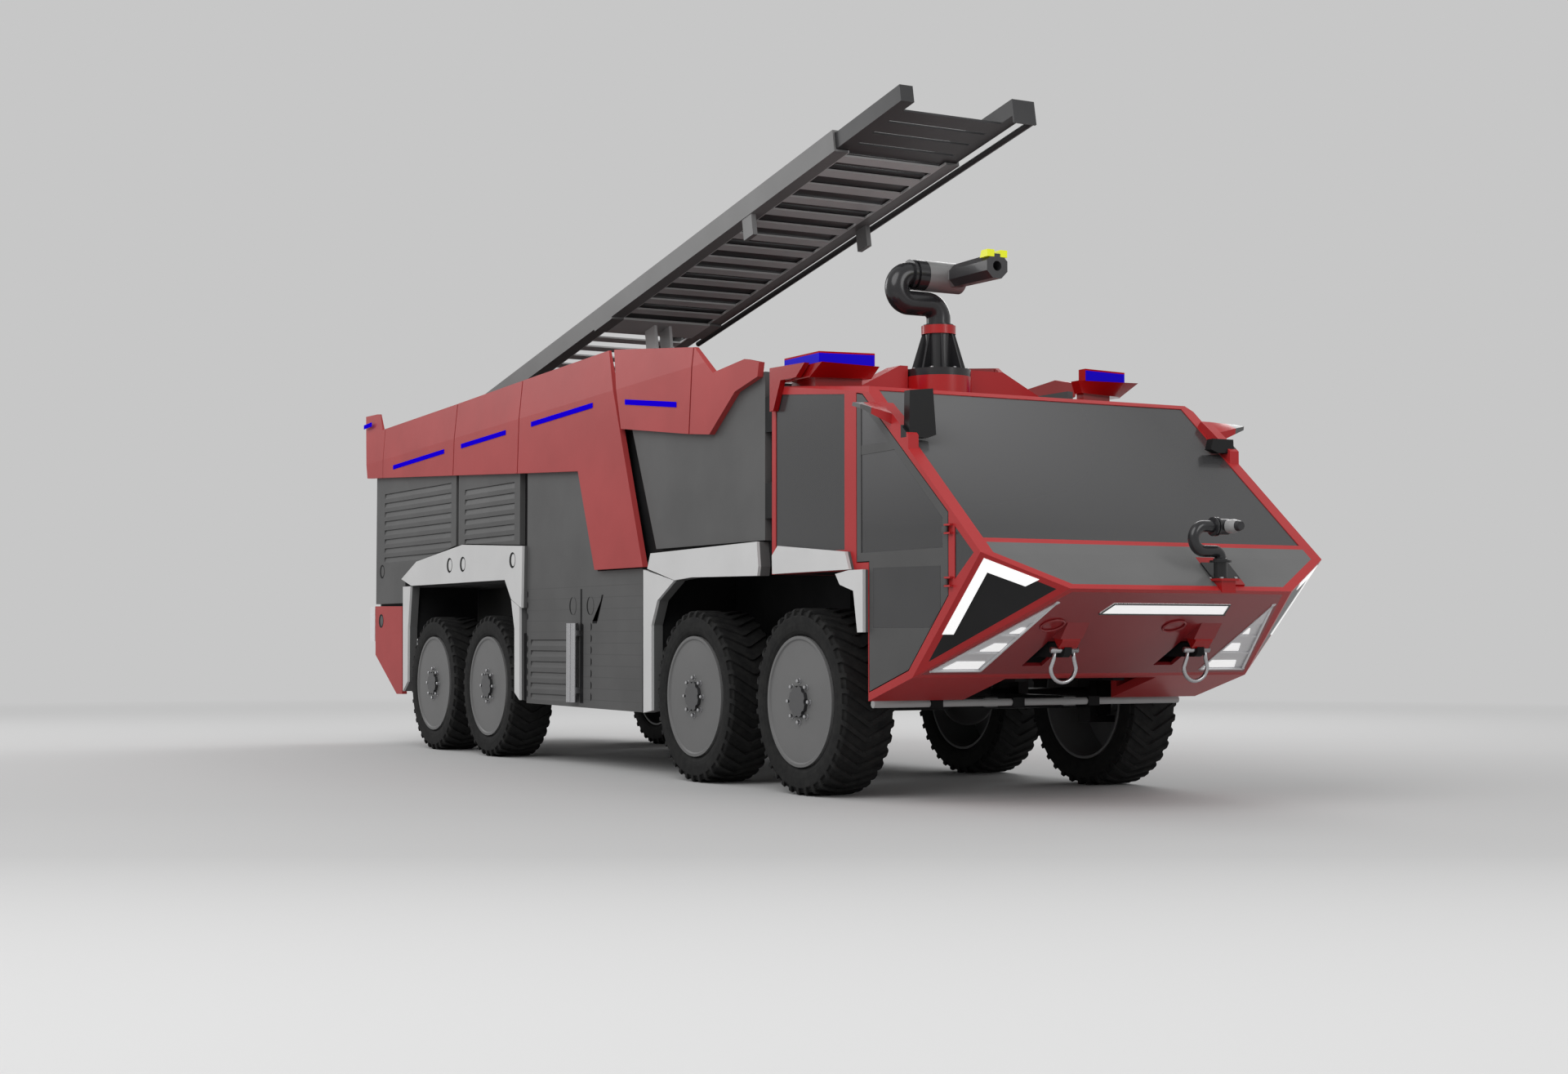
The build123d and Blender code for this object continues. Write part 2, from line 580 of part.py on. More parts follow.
with BuildPart() as cab_roof:
    beam_between(roof_outline(0), CAB_HALF_WIDTH - CAB_WALL)
    hump_foot = roof_height(HUMP_STATIONS[1])
    with BuildSketch(Plane(origin=(at(HUMP_STATIONS[0]), 0, 0), x_dir=(0, 1, 0), z_dir=(1, 0, 0))) as hump:
        with BuildLine():
            Polyline([(-HUMP_FOOT_HALF_WIDTH, hump_foot - CAB_WALL / 2), (HUMP_FOOT_HALF_WIDTH, hump_foot - CAB_WALL / 2),
                      (HUMP_FOOT_HALF_WIDTH, hump_foot), (HUMP_TOP_HALF_WIDTH, HUMP_TOP),
                      (-HUMP_TOP_HALF_WIDTH, HUMP_TOP), (-HUMP_FOOT_HALF_WIDTH, hump_foot)], close=True)
        make_face()
    extrude(hump.sketch, amount=HUMP_STATIONS[1] - HUMP_STATIONS[0])
    with BuildSketch(roof_plane(MONITOR_STATION)) as monitor_seat:
        with Locations((MONITOR_Y, 0)):
            Circle(MONITOR_DISC_RADIUS + HUMP_CLEARANCE)
    extrude(monitor_seat.sketch, amount=2 * (HUMP_TOP - hump_foot), dir=(0, 0, 1), mode=Mode.SUBTRACT)
cab_roof.part.label = "cab_roof"
export_step(cab_roof.part, "parts/cab_roof.step")

with BuildPart() as cab_tub:
    with Locations((at(CAB_REAR) + CAB_WALL / 2, 0, (CAB_FLOOR + CAB_ROOF_REAR) / 2)):
        Box(CAB_WALL, 2 * (CAB_HALF_WIDTH - CAB_WALL),
            CAB_ROOF_REAR - CAB_FLOOR - 2 * CAB_WALL)
    beam_between(((CAB_REAR + CAB_WALL, CAB_FLOOR), (CAB_REAR + CAB_WALL, CAB_FLOOR + CAB_WALL + 10),
                  (SILL[0] - 60, CAB_FLOOR + CAB_WALL + 10), (SILL[0] - 60, CAB_FLOOR)),
                 CAB_HALF_WIDTH - CAB_WALL)
    for side in SIDES:
        for height in GAP_HINGE_HEIGHTS:
            with Locations(((at(BODY_FRONT) + at(CAB_REAR)) / 2, side * (PANEL_OUTER_Y - GAP_HINGE_WIDTH / 2),
                            height)):
                Box(CAB_REAR - BODY_FRONT, GAP_HINGE_WIDTH, GAP_HINGE_HEIGHT)
cab_tub.part.label = "cab_tub"
export_step(cab_tub.part, "parts/cab_tub.step")

with BuildPart() as windscreen:
    extrude(screen_outline(0), amount=-GLASS_THICKNESS - GLASS_INSET)
    extrude(screen_outline(0), amount=-GLASS_INSET, mode=Mode.SUBTRACT)
windscreen.part.label = "windscreen"
export_step(windscreen.part, "parts/windscreen.step")

with BuildPart() as hood_panel:
    extrude(hood_strip_outline(0), amount=-NOSE_PANEL)
    extrude(hood_facet_outline(0), amount=-NOSE_PANEL)
hood_panel.part.label = "hood_panel"
export_step(hood_panel.part, "parts/hood_panel.step")

# Front lamps: light bar and stepped corner headlamps, set into the bumper

LAMP_RIM = 12.0
LAMP_POCKET = 10.0
LAMP_CELLS = ((90.0, 330.0), (350.0, 580.0), (600.0, 780.0))


def light_bar_outline(clearance):
    half = 430.0 - clearance
    low = 0.72 * BUMPER_LENGTH + clearance
    high = low + 90 - 2 * clearance
    with BuildSketch(bumper_plane) as sketch:
        with BuildLine():
            Polyline([(-half - 40, low), (half + 40, low), (half, high), (-half, high)], close=True)
        make_face()
    return sketch.sketch


HEADLAMP_OUTER = CAB_HALF_WIDTH - FRAME_BORDER - 40
HEADLAMP_WIDTH = 420.0
HEADLAMP_FOOT = 90.0
HEADLAMP_PEAK = (HOOD_FRONT_HALF_WIDTH - 20, 0.86 * BUMPER_LENGTH)


def headlamp_corners(side):
    return [(side * HEADLAMP_OUTER, HEADLAMP_FOOT), (side * (HEADLAMP_OUTER - HEADLAMP_WIDTH), HEADLAMP_FOOT),
            (side * HEADLAMP_PEAK[0], HEADLAMP_PEAK[1])]


def headlamp_outline(side):
    with BuildSketch(bumper_plane) as sketch:
        with BuildLine():
            Polyline(headlamp_corners(side), close=True)
        make_face()
    return sketch.sketch


def headlamp_cell(side, low, high):
    """Slice of the headlamp between two distances up the facet, inside its rim."""
    with BuildSketch(bumper_plane) as sketch:
        with BuildLine():
            Polyline(headlamp_corners(side), close=True)
        make_face()
        offset(amount=-LAMP_RIM, kind=Kind.INTERSECTION, mode=Mode.REPLACE)
        with Locations((0, (low + high) / 2)):
            Rectangle(4 * CAB_HALF_WIDTH, high - low, mode=Mode.INTERSECT)
    return sketch.sketch


RECESS_WIDTH = 170.0
TOW_HOOD_WIDTH = 180.0
TOW_HOOD_REACH = (573.0, 790.0)
TOW_HOOD_TIP = (9945.0, 1150.0)
TOW_HOOD_RUN = (HOOD_FRONT[0] - CHIN[0]) / BUMPER_LENGTH
TOW_HOOD_CLIMB = (HOOD_FRONT[1] - CHIN[1]) / BUMPER_LENGTH
RECESS_REACH = (165.0, 525.0)


def tow_recess_outline(side):
    """Slot for a tow arm, by its reach up the bumper facet from the chin."""
    with BuildSketch(bumper_plane) as sketch:
        with Locations((side * TOW_EYE_Y, (RECESS_REACH[0] + RECESS_REACH[1]) / 2)):
            Rectangle(RECESS_WIDTH, RECESS_REACH[1] - RECESS_REACH[0])
    return sketch.sketch


with BuildPart() as bumper:
    extrude(bumper_outline(0), amount=-NOSE_PANEL)
    extrude(light_bar_outline(0), amount=-NOSE_PANEL - 10, mode=Mode.SUBTRACT)
    for side in SIDES:
        extrude(headlamp_outline(side), amount=-NOSE_PANEL - 10, mode=Mode.SUBTRACT)
        extrude(tow_recess_outline(side), amount=-CAB_WALL - 10, mode=Mode.SUBTRACT)
    for side in SIDES:
        beam_x = [(CHIN[0] + reach * TOW_HOOD_RUN, CHIN[1] + reach * TOW_HOOD_CLIMB) for reach in TOW_HOOD_REACH]
        with BuildSketch(Plane(origin=(0, side * TOW_EYE_Y + TOW_HOOD_WIDTH / 2, 0), x_dir=(1, 0, 0),
                               z_dir=(0, -1, 0))) as hood_side:
            with BuildLine():
                Polyline([(at(beam_x[0][0]), beam_x[0][1]), (at(beam_x[1][0]), beam_x[1][1]),
                          (at(TOW_HOOD_TIP[0]), TOW_HOOD_TIP[1])], close=True)
            make_face()
        extrude(hood_side.sketch, amount=TOW_HOOD_WIDTH)
bumper.part.label = "bumper"
export_step(bumper.part, "parts/bumper.step")

with BuildPart() as front_lamps:
    extrude(light_bar_outline(0), amount=-NOSE_PANEL)
    extrude(light_bar_outline(LAMP_RIM), amount=-LAMP_POCKET, mode=Mode.SUBTRACT)
    for side in SIDES:
        extrude(headlamp_outline(side), amount=-NOSE_PANEL)
        for low, high in LAMP_CELLS:
            extrude(headlamp_cell(side, low, high), amount=-LAMP_POCKET, mode=Mode.SUBTRACT)
front_lamps.part.label = "front_lamps"
export_step(front_lamps.part, "parts/front_lamps.step")

with BuildPart() as corner_panels:
    for side in SIDES:
        extrude(corner_outline(side, 0), amount=-NOSE_PANEL)
corner_panels.part.label = "corner_panels"
export_step(corner_panels.part, "parts/corner_panels.step")


def shrink(points, outer, side, distance):
    """Outline in a flank plane, drawn in all round by a distance."""
    with BuildSketch(Plane(origin=(0, side * outer, 0), x_dir=(1, 0, 0), z_dir=(0, -1, 0))) as face:
        with BuildLine():
            Polyline([(at(station), height) for station, height in points], close=True)
        make_face()
        if distance > 0:
            offset(amount=-distance, kind=Kind.INTERSECTION, mode=Mode.REPLACE)
    return face.sketch


with BuildPart() as side_panes:
    for side in SIDES:
        for outline in (SIDE_PANE_OUTLINE, QUARTER_PANE_OUTLINE):
            extrude(shrink(outline, CAB_HALF_WIDTH - GLASS_INSET, side, 0),
                    amount=GLASS_THICKNESS, dir=(0, -side, 0))
side_panes.part.label = "side_panes"
export_step(side_panes.part, "parts/side_panes.step")

# Doors: leaf as thick as the wall, window cut out, glass let in

DOOR_GAP = 8.0
DOOR_WINDOW = (
    # station, height
    (POST_STATIONS[1] + 70, 1760.0),
    (POST_STATIONS[1] + 70, 2820.0),
    (8700.0, 2800.0),
    (9720.0, 1960.0),
    (9720.0, 1760.0),
)

for side in SIDES:
    with BuildPart() as door:
        extrude(shrink(DOOR_OUTLINE, CAB_HALF_WIDTH, side, DOOR_GAP), amount=CAB_WALL - 10,
                dir=(0, -side, 0))
        flank_plate(DOOR_WINDOW, CAB_HALF_WIDTH + 10, CAB_WALL + 30, side, Mode.SUBTRACT)
        for height in HINGE_HEIGHTS:
            with Locations((at(HINGE_STATION) - 30, side * (CAB_HALF_WIDTH + HINGE_OUT / 2), height)):
                Box(50, HINGE_OUT, 2 * HINGE_HALF_HEIGHT)
            with Locations((at(HINGE_STATION), side * (CAB_HALF_WIDTH + HINGE_OUT), height)):
                Cylinder(HINGE_KNUCKLE_RADIUS, 2 * HINGE_HALF_HEIGHT)
                Cylinder(HINGE_PIN_RADIUS + RUNNING_FIT, 4 * HINGE_HALF_HEIGHT, mode=Mode.SUBTRACT)
    door.part.label = f"door_{SIDE_NAMES[side]}"
    export_step(door.part, f"parts/door_{SIDE_NAMES[side]}.step")

    with BuildPart() as door_glass:
        extrude(shrink(DOOR_WINDOW, CAB_HALF_WIDTH - GLASS_INSET, side, 0), amount=GLASS_THICKNESS,
                dir=(0, -side, 0))
    door_glass.part.label = f"door_glass_{SIDE_NAMES[side]}"
    export_step(door_glass.part, f"parts/door_glass_{SIDE_NAMES[side]}.step")


# Roof lights on angular trays, and the camera pods on the pillars

BEACON_PLAN = (
    # station, distance in from the cab's side: outer rear, outer front, inner front, inner rear
    (7448.0, 49.0),
    (7976.0, 49.0),
    (8047.0, 488.0),
    (7960.0, 488.0),
)
TRAY_TOP_PLAN = ((7400.0, 6.0), (8096.0, 6.0), (8030.0, 541.0), (7930.0, 541.0))
TRAY_FOOT_PLAN = ((7440.0, 20.0), (7885.0, 20.0), (8000.0, 485.0), (7900.0, 485.0))
TRAY_STEM_PLAN = ((7480.0, 95.0), (7840.0, 95.0), (7950.0, 435.0), (7860.0, 435.0))
TRAY_FOOT = 3090.0
TRAY_TOP = 3182.0
BEACON_HEIGHT = 94.0
CORNER_BRACKET = (
    # station, height: bracket round the rear top corner of the cab's side
    (7385.0, 2874.0),
    (7385.0, 3205.0),
    (7927.0, 3191.0),
    (7791.0, 3095.0),
    (7555.0, 3096.0),
    (7440.0, 2874.0),
)


def plan_face(points, height, side):
    """Level face at a height, from stations and distances in from the cab's side."""
    with BuildSketch(Plane.XY.offset(height)) as face:
        with BuildLine():
            Polyline([(at(station), side * (CAB_HALF_WIDTH - inset)) for station, inset in points], close=True)
        make_face()
    return face.sketch


with BuildPart() as beacon_trays:
    for side in SIDES:
        loft([plan_face(TRAY_FOOT_PLAN, TRAY_FOOT, side).face(), plan_face(TRAY_TOP_PLAN, TRAY_TOP, side).face()])
        extrude(plan_face(TRAY_STEM_PLAN, TRAY_FOOT, side), amount=150, dir=(0, 0, -1))
    split(bisect_by=roof_plane(CAB_REAR), keep=Keep.TOP)
    for side in SIDES:
        flank_plate(CORNER_BRACKET, TRIM_OUTER_Y, TRIM_OUTER_Y - CAB_HALF_WIDTH, side)
beacon_trays.part.label = "beacon_trays"
export_step(beacon_trays.part, "parts/beacon_trays.step")

with BuildPart() as beacons:
    for side in SIDES:
        extrude(plan_face(BEACON_PLAN, TRAY_TOP, side), amount=BEACON_HEIGHT, dir=(0, 0, 1))
beacons.part.label = "beacons"
export_step(beacons.part, "parts/beacons.step")

POD_ROOT = (
    # station, height
    (8920.0, 2766.0),
    (9070.0, 2640.0),
    (9080.0, 2712.0),
    (8960.0, 2800.0),
)
POD_TIP = (
    (8950.0, 2765.0),
    (9060.0, 2740.0),
    (9065.0, 2768.0),
    (8960.0, 2790.0),
)
POD_INSET = 85.0
POD_REACH = 245.0
POD_BASE = (
    # station, height: foot along the pillar under the arm
    (8920.0, 2766.0),
    (9290.0, 2455.0),
    (9290.0, 2550.0),
    (9080.0, 2712.0),
    (8960.0, 2800.0),
)
MIRROR_STATIONS = (9195.0, 9265.0)
MIRROR_TOP = {RIGHT: 2880.0, LEFT: 2640.0}
MIRROR_HEAD = (
    # distance in from the cab's side, height
    (25.0, 2540.0),
    (30.0, 2860.0),
    (220.0, 2880.0),
    (245.0, 2560.0),
    (175.0, 2535.0),
)

with BuildPart() as camera_pods:
    for side in SIDES:
        flank_plate(POD_BASE, CAB_HALF_WIDTH, POD_INSET, side)
        loft([outline_xz(POD_ROOT, CAB_HALF_WIDTH, side).face(),
              outline_xz(POD_TIP, CAB_HALF_WIDTH + POD_REACH, side).face()])
        with BuildSketch(Plane(origin=(at(MIRROR_STATIONS[0]), 0, 0), x_dir=(0, 1, 0), z_dir=(1, 0, 0))) as head:
            with BuildLine():
                Polyline([(side * (CAB_HALF_WIDTH - inset), min(height, MIRROR_TOP[side]))
                          for inset, height in MIRROR_HEAD], close=True)
            make_face()
        extrude(head.sketch, amount=MIRROR_STATIONS[1] - MIRROR_STATIONS[0])
    split(bisect_by=screen_plane, keep=Keep.TOP)
camera_pods.part.label = "camera_pods"
export_step(camera_pods.part, "parts/camera_pods.step")


# Roof monitor: ribbed cone on a disc, S-bend riser that pans, barrel that tilts

MONITOR_RING_HEIGHT = 134.0
MONITOR_FLANGE_RADIUS = 250.0
MONITOR_FLANGE_HEIGHT = 58.0
MONITOR_CORE_RADIUS = 112.0
MONITOR_CORE_HEIGHT = 279.0
MONITOR_COLLAR_HEIGHT = 67.0
MONITOR_COLLAR_RADIUS = 134.0
MONITOR_FINS = 8
FIN_THICKNESS = 16.0
FIN_FOOT_RADIUS = 215.0
FIN_TOP_RADIUS = 130.0
PIPE_RADIUS = 79.0
monitor_foot = roof_height(MONITOR_STATION)
FLANGE_TOP = monitor_foot + MONITOR_RING_HEIGHT + MONITOR_FLANGE_HEIGHT
COLLAR_TOP = FLANGE_TOP + MONITOR_CORE_HEIGHT + MONITOR_COLLAR_HEIGHT


def stack(x, y, z, profile):
    """Turned part about a vertical axis, from radius and height pairs."""
    with BuildSketch(Plane(origin=(x, y, z), x_dir=(1, 0, 0), z_dir=(0, -1, 0))) as section:
        with BuildLine():
            Polyline(list(profile), close=True)
        make_face()
    revolve(section.sketch, axis=Axis((x, y, z), (0, 0, 1)))


with BuildPart() as roof_monitor_base:
    top = COLLAR_TOP - monitor_foot
    stack(at(MONITOR_STATION), MONITOR_Y, monitor_foot, (
        # radius, height
        (0, -60),
        (MONITOR_DISC_RADIUS, -60),
        (MONITOR_DISC_RADIUS, MONITOR_RING_HEIGHT),
        (MONITOR_FLANGE_RADIUS, MONITOR_RING_HEIGHT),
        (MONITOR_FLANGE_RADIUS, MONITOR_RING_HEIGHT + MONITOR_FLANGE_HEIGHT),
        (MONITOR_CORE_RADIUS, MONITOR_RING_HEIGHT + MONITOR_FLANGE_HEIGHT),
        (MONITOR_CORE_RADIUS, top - MONITOR_COLLAR_HEIGHT),
        (MONITOR_COLLAR_RADIUS, top - MONITOR_COLLAR_HEIGHT),
        (MONITOR_COLLAR_RADIUS, top),
        (0, top),
    ))
    split(bisect_by=Plane(origin=(at(MONITOR_STATION), MONITOR_Y, monitor_foot), x_dir=(0, 1, 0),
                          z_dir=(-ROOF_SLOPE, 0, 1)), keep=Keep.TOP)
    for fin in range(MONITOR_FINS):
        angle = math.radians((fin + 0.5) * 360 / MONITOR_FINS)
        with BuildSketch(Plane(origin=(at(MONITOR_STATION), MONITOR_Y, FLANGE_TOP),
                               x_dir=(math.cos(angle), math.sin(angle), 0),
                               z_dir=(math.sin(angle), -math.cos(angle), 0))) as fin_side:
            with BuildLine():
                Polyline([(0, 0), (FIN_FOOT_RADIUS, 0), (FIN_TOP_RADIUS, MONITOR_CORE_HEIGHT),
                          (0, MONITOR_CORE_HEIGHT)], close=True)
            make_face()
        extrude(fin_side.sketch, amount=FIN_THICKNESS / 2, both=True)
roof_monitor_base.part.label = "roof_monitor_base"
export_step(roof_monitor_base.part, "parts/roof_monitor_base.step")


def s_bend(x, y, z, pipe_radius, rise, reach, u_radius, end):
    """Pipe that rises, bends to the right, turns back in a U and ends a little past its middle."""
    bend = 1.25 * pipe_radius
    with BuildLine() as path:
        FilletPolyline(
            (x, y, z),
            (x, y, z + rise),
            (x, y - reach - u_radius, z + rise),
            (x, y - reach - u_radius, z + rise + 2 * u_radius),
            (x, y - reach + end, z + rise + 2 * u_radius),
            radius=min(bend, u_radius - 0.5),
        )
    with BuildSketch(Plane(origin=(x, y, z), z_dir=(0, 0, 1))) as round_section:
        Circle(pipe_radius)
    sweep(round_section.sketch, path=path.line)


S_RISE = 164.0
S_REACH = 270.0
S_U_RADIUS = 110.0
S_END = 12.0
TURRET_GAP = 1.0
TILT_HEIGHT = COLLAR_TOP + TURRET_GAP + S_RISE + 2 * S_U_RADIUS
COUPLING_RADIUS = 118.0
COUPLING_LENGTH = 128.0
COUPLING_NECK_RADIUS = 96.0
COUPLING_FLANGE = 22.0
COUPLING_Y = MONITOR_Y - S_REACH


def disc_across(x, y, z, radius, length, mode=Mode.ADD):
    """Round solid with its axis across the vehicle, from y towards the left."""
    with BuildSketch(Plane(origin=(x, y, z), x_dir=(1, 0, 0), z_dir=(0, 1, 0))) as disc:
        Circle(radius)
    extrude(disc.sketch, amount=length, mode=mode)


with BuildPart() as roof_monitor_riser:
    s_bend(at(MONITOR_STATION), MONITOR_Y, COLLAR_TOP + TURRET_GAP, PIPE_RADIUS, S_RISE, S_REACH, S_U_RADIUS,
           S_END)
    disc_across(at(MONITOR_STATION), COUPLING_Y, TILT_HEIGHT, COUPLING_RADIUS, COUPLING_FLANGE)
    disc_across(at(MONITOR_STATION), COUPLING_Y, TILT_HEIGHT, COUPLING_NECK_RADIUS, COUPLING_LENGTH)
    disc_across(at(MONITOR_STATION), COUPLING_Y + 2 * COUPLING_FLANGE, TILT_HEIGHT, COUPLING_RADIUS,
                COUPLING_LENGTH - 2 * COUPLING_FLANGE)
roof_monitor_riser.part.label = "roof_monitor_riser"
export_step(roof_monitor_riser.part, "parts/roof_monitor_riser.step")

DRUM_RADIUS = 119.0
DRUM_LENGTH = 335.0
DRUM_Y = COUPLING_Y + COUPLING_LENGTH + TURRET_GAP
HOUSING_BACK = 70.0
HOUSING_LENGTH = 666.0
HOUSING_INSET = 95.0
HOUSING_BACK_RADIUS = 92.0
HOUSING_RADIUS = 101.0
NOZZLE_RADIUS = 38.0
NOZZLE_DEPTH = 120.0
WORK_LAMP = (90.0, 55.0, 45.0)
WORK_LAMP_Y = 52.0

with BuildPart() as roof_monitor_barrel:
    disc_across(at(MONITOR_STATION), DRUM_Y, TILT_HEIGHT, DRUM_RADIUS, DRUM_LENGTH)
    housing_y = DRUM_Y + DRUM_LENGTH - HOUSING_INSET
    muzzle_x = at(MONITOR_STATION) + HOUSING_LENGTH
    with BuildSketch(Plane(origin=(at(MONITOR_STATION) + HOUSING_BACK, housing_y, TILT_HEIGHT), x_dir=(0, 1, 0),
                           z_dir=(1, 0, 0))) as back:
        RegularPolygon(HOUSING_BACK_RADIUS, 8, rotation=22.5)
    with BuildSketch(Plane(origin=(muzzle_x, housing_y, TILT_HEIGHT), x_dir=(0, 1, 0), z_dir=(1, 0, 0))) as front:
        RegularPolygon(HOUSING_RADIUS, 8, rotation=22.5)
    loft([back.sketch.face(), front.sketch.face()])
    for side in SIDES:
        with Locations((muzzle_x - WORK_LAMP[0] / 2, housing_y + side * WORK_LAMP_Y,
                        TILT_HEIGHT + HOUSING_RADIUS * 0.92)):
            Box(WORK_LAMP[0], WORK_LAMP[1], WORK_LAMP[2])
    with BuildSketch(Plane(origin=(muzzle_x, housing_y, TILT_HEIGHT), x_dir=(0, 1, 0), z_dir=(1, 0, 0))) as nozzle:
        Circle(NOZZLE_RADIUS)
    extrude(nozzle.sketch, amount=-NOZZLE_DEPTH, mode=Mode.SUBTRACT)
roof_monitor_barrel.part.label = "roof_monitor_barrel"
export_step(roof_monitor_barrel.part, "parts/roof_monitor_barrel.step")


# Bumper monitor, a small one of the same kind, left of the middle on the hood

NOSE_STATION = 10390.0
NOSE_Y = 350.0
NOSE_PIPE = 28.0
NOSE_RISE = 60.0
NOSE_REACH = 145.0
NOSE_U = 84.0
NOSE_PLATE = (310.0, 550.0)
NOSE_PLATE_REACH = (50.0, 280.0)
NOSE_PLATE_THICKNESS = 12.0
NOSE_FOOT = 1560.0
NOSE_FOOT_SIZE = 150.0
NOSE_FOOT_THICKNESS = 16.0
NOSE_POST_RADIUS = 46.0
NOSE_FLANGE_RADIUS = 75.0
NOSE_FLANGE_THICKNESS = 14.0
NOSE_POST_TOP = 1684.0
NOSE_COUPLING_RADIUS = 66.0
NOSE_COUPLING_LENGTH = 36.0
NOSE_DRUM_RADIUS = 54.0
NOSE_DRUM_LENGTH = 92.0
NOSE_NOZZLE_Y = 58.0
NOSE_NOZZLE_RADII = (42.0, 26.0)
NOSE_TIP_STATION = 10575.0

with BuildPart() as nose_monitor_base:
    with BuildSketch(hood_plane) as plate:
        with Locations(((NOSE_PLATE[0] + NOSE_PLATE[1]) / 2, sum(NOSE_PLATE_REACH) / 2)):
            Rectangle(NOSE_PLATE[1] - NOSE_PLATE[0], NOSE_PLATE_REACH[1] - NOSE_PLATE_REACH[0])
    extrude(plate.sketch, amount=NOSE_PLATE_THICKNESS)
    with Locations((at(NOSE_STATION), NOSE_Y + 20, NOSE_FOOT - NOSE_FOOT_SIZE / 2)):
        Box(NOSE_FOOT_SIZE - 30, NOSE_FOOT_SIZE - 30, NOSE_FOOT_SIZE)
    with Locations((at(NOSE_STATION), NOSE_Y + 20, NOSE_FOOT - NOSE_FOOT_THICKNESS / 2)):
        Box(NOSE_FOOT_SIZE, NOSE_FOOT_SIZE, NOSE_FOOT_THICKNESS)
    with BuildSketch(Plane(origin=(at(NOSE_STATION), NOSE_Y, NOSE_FOOT), z_dir=(0, 0, 1))) as post:
        Circle(NOSE_POST_RADIUS)
    extrude(post.sketch, amount=NOSE_POST_TOP - NOSE_FOOT)
    with BuildSketch(Plane(origin=(at(NOSE_STATION), NOSE_Y, NOSE_POST_TOP), z_dir=(0, 0, 1))) as flange:
        Circle(NOSE_FLANGE_RADIUS)
    extrude(flange.sketch, amount=-NOSE_FLANGE_THICKNESS)
    split(bisect_by=hood_plane, keep=Keep.TOP)
nose_monitor_base.part.label = "nose_monitor_base"
export_step(nose_monitor_base.part, "parts/nose_monitor_base.step")

NOSE_TOP = NOSE_POST_TOP + TURRET_GAP
NOSE_TILT = NOSE_TOP + NOSE_RISE + 2 * NOSE_U
NOSE_COUPLING_Y = NOSE_Y - NOSE_REACH + NOSE_U - 8

with BuildPart() as nose_monitor_riser:
    s_bend(at(NOSE_STATION), NOSE_Y, NOSE_TOP, NOSE_PIPE, NOSE_RISE, NOSE_REACH, NOSE_U, NOSE_U)
    disc_across(at(NOSE_STATION), NOSE_COUPLING_Y, NOSE_TILT, NOSE_COUPLING_RADIUS, NOSE_COUPLING_LENGTH)
nose_monitor_riser.part.label = "nose_monitor_riser"
export_step(nose_monitor_riser.part, "parts/nose_monitor_riser.step")

with BuildPart() as nose_monitor_barrel:
    nose_drum_y = NOSE_COUPLING_Y + NOSE_COUPLING_LENGTH + TURRET_GAP
    disc_across(at(NOSE_STATION), nose_drum_y, NOSE_TILT, NOSE_DRUM_RADIUS, NOSE_DRUM_LENGTH)
    with BuildSketch(Plane(origin=(at(NOSE_STATION), nose_drum_y + NOSE_NOZZLE_Y, NOSE_TILT), x_dir=(0, 1, 0),
                           z_dir=(1, 0, 0))) as back:
        Circle(NOSE_NOZZLE_RADII[0])
    with BuildSketch(Plane(origin=(at(NOSE_TIP_STATION), nose_drum_y + NOSE_NOZZLE_Y, NOSE_TILT), x_dir=(0, 1, 0),
                           z_dir=(1, 0, 0))) as front:
        Circle(NOSE_NOZZLE_RADII[1])
    loft([back.sketch.face(), front.sketch.face()])
nose_monitor_barrel.part.label = "nose_monitor_barrel"
export_step(nose_monitor_barrel.part, "parts/nose_monitor_barrel.step")


# Tow shackles, each a bow on a pin through the tow eye

with BuildPart() as tow_shackles:
    for side in SIDES:
        half = 55.0
        with BuildLine() as bow:
            FilletPolyline(
                (at(TOW_EYE_STATION), side * TOW_EYE_Y - half, TOW_EYE_HEIGHT),
                (at(TOW_EYE_STATION), side * TOW_EYE_Y - half, TOW_EYE_HEIGHT - 200),
                (at(TOW_EYE_STATION), side * TOW_EYE_Y + half, TOW_EYE_HEIGHT - 200),
                (at(TOW_EYE_STATION), side * TOW_EYE_Y + half, TOW_EYE_HEIGHT),
                radius=54,
            )
        with BuildSketch(Plane(origin=(at(TOW_EYE_STATION), side * TOW_EYE_Y - half, TOW_EYE_HEIGHT),
                               z_dir=(0, 0, 1))) as bar:
            Circle(16)
        sweep(bar.sketch, path=bow.line)
        with Locations(Location((at(TOW_EYE_STATION), side * TOW_EYE_Y, TOW_EYE_HEIGHT), (90, 0, 0))):
            Cylinder(TOW_PIN_RADIUS, 2 * half + 60)
tow_shackles.part.label = "tow_shackles"
export_step(tow_shackles.part, "parts/tow_shackles.step")

# Rear tow jaw on the last crossmember

JAW_STATION = -2050.0
JAW_PIN_RADIUS = 20.0

with BuildPart() as tow_jaw:
    with Locations((at(JAW_STATION) + 65, 0, 950)):
        Box(250, 200, 200)
    with Locations((at(JAW_STATION) - 45, 0, 950)):
        Box(170, 210, 80, mode=Mode.SUBTRACT)
    with Locations((at(JAW_STATION), 0, 950)):
        Cylinder(JAW_PIN_RADIUS, 400, mode=Mode.SUBTRACT)
tow_jaw.part.label = "tow_jaw"
export_step(tow_jaw.part, "parts/tow_jaw.step")


# Body: dark core with the wheel arches cut, deck on top

TANK_GAP = 5.0

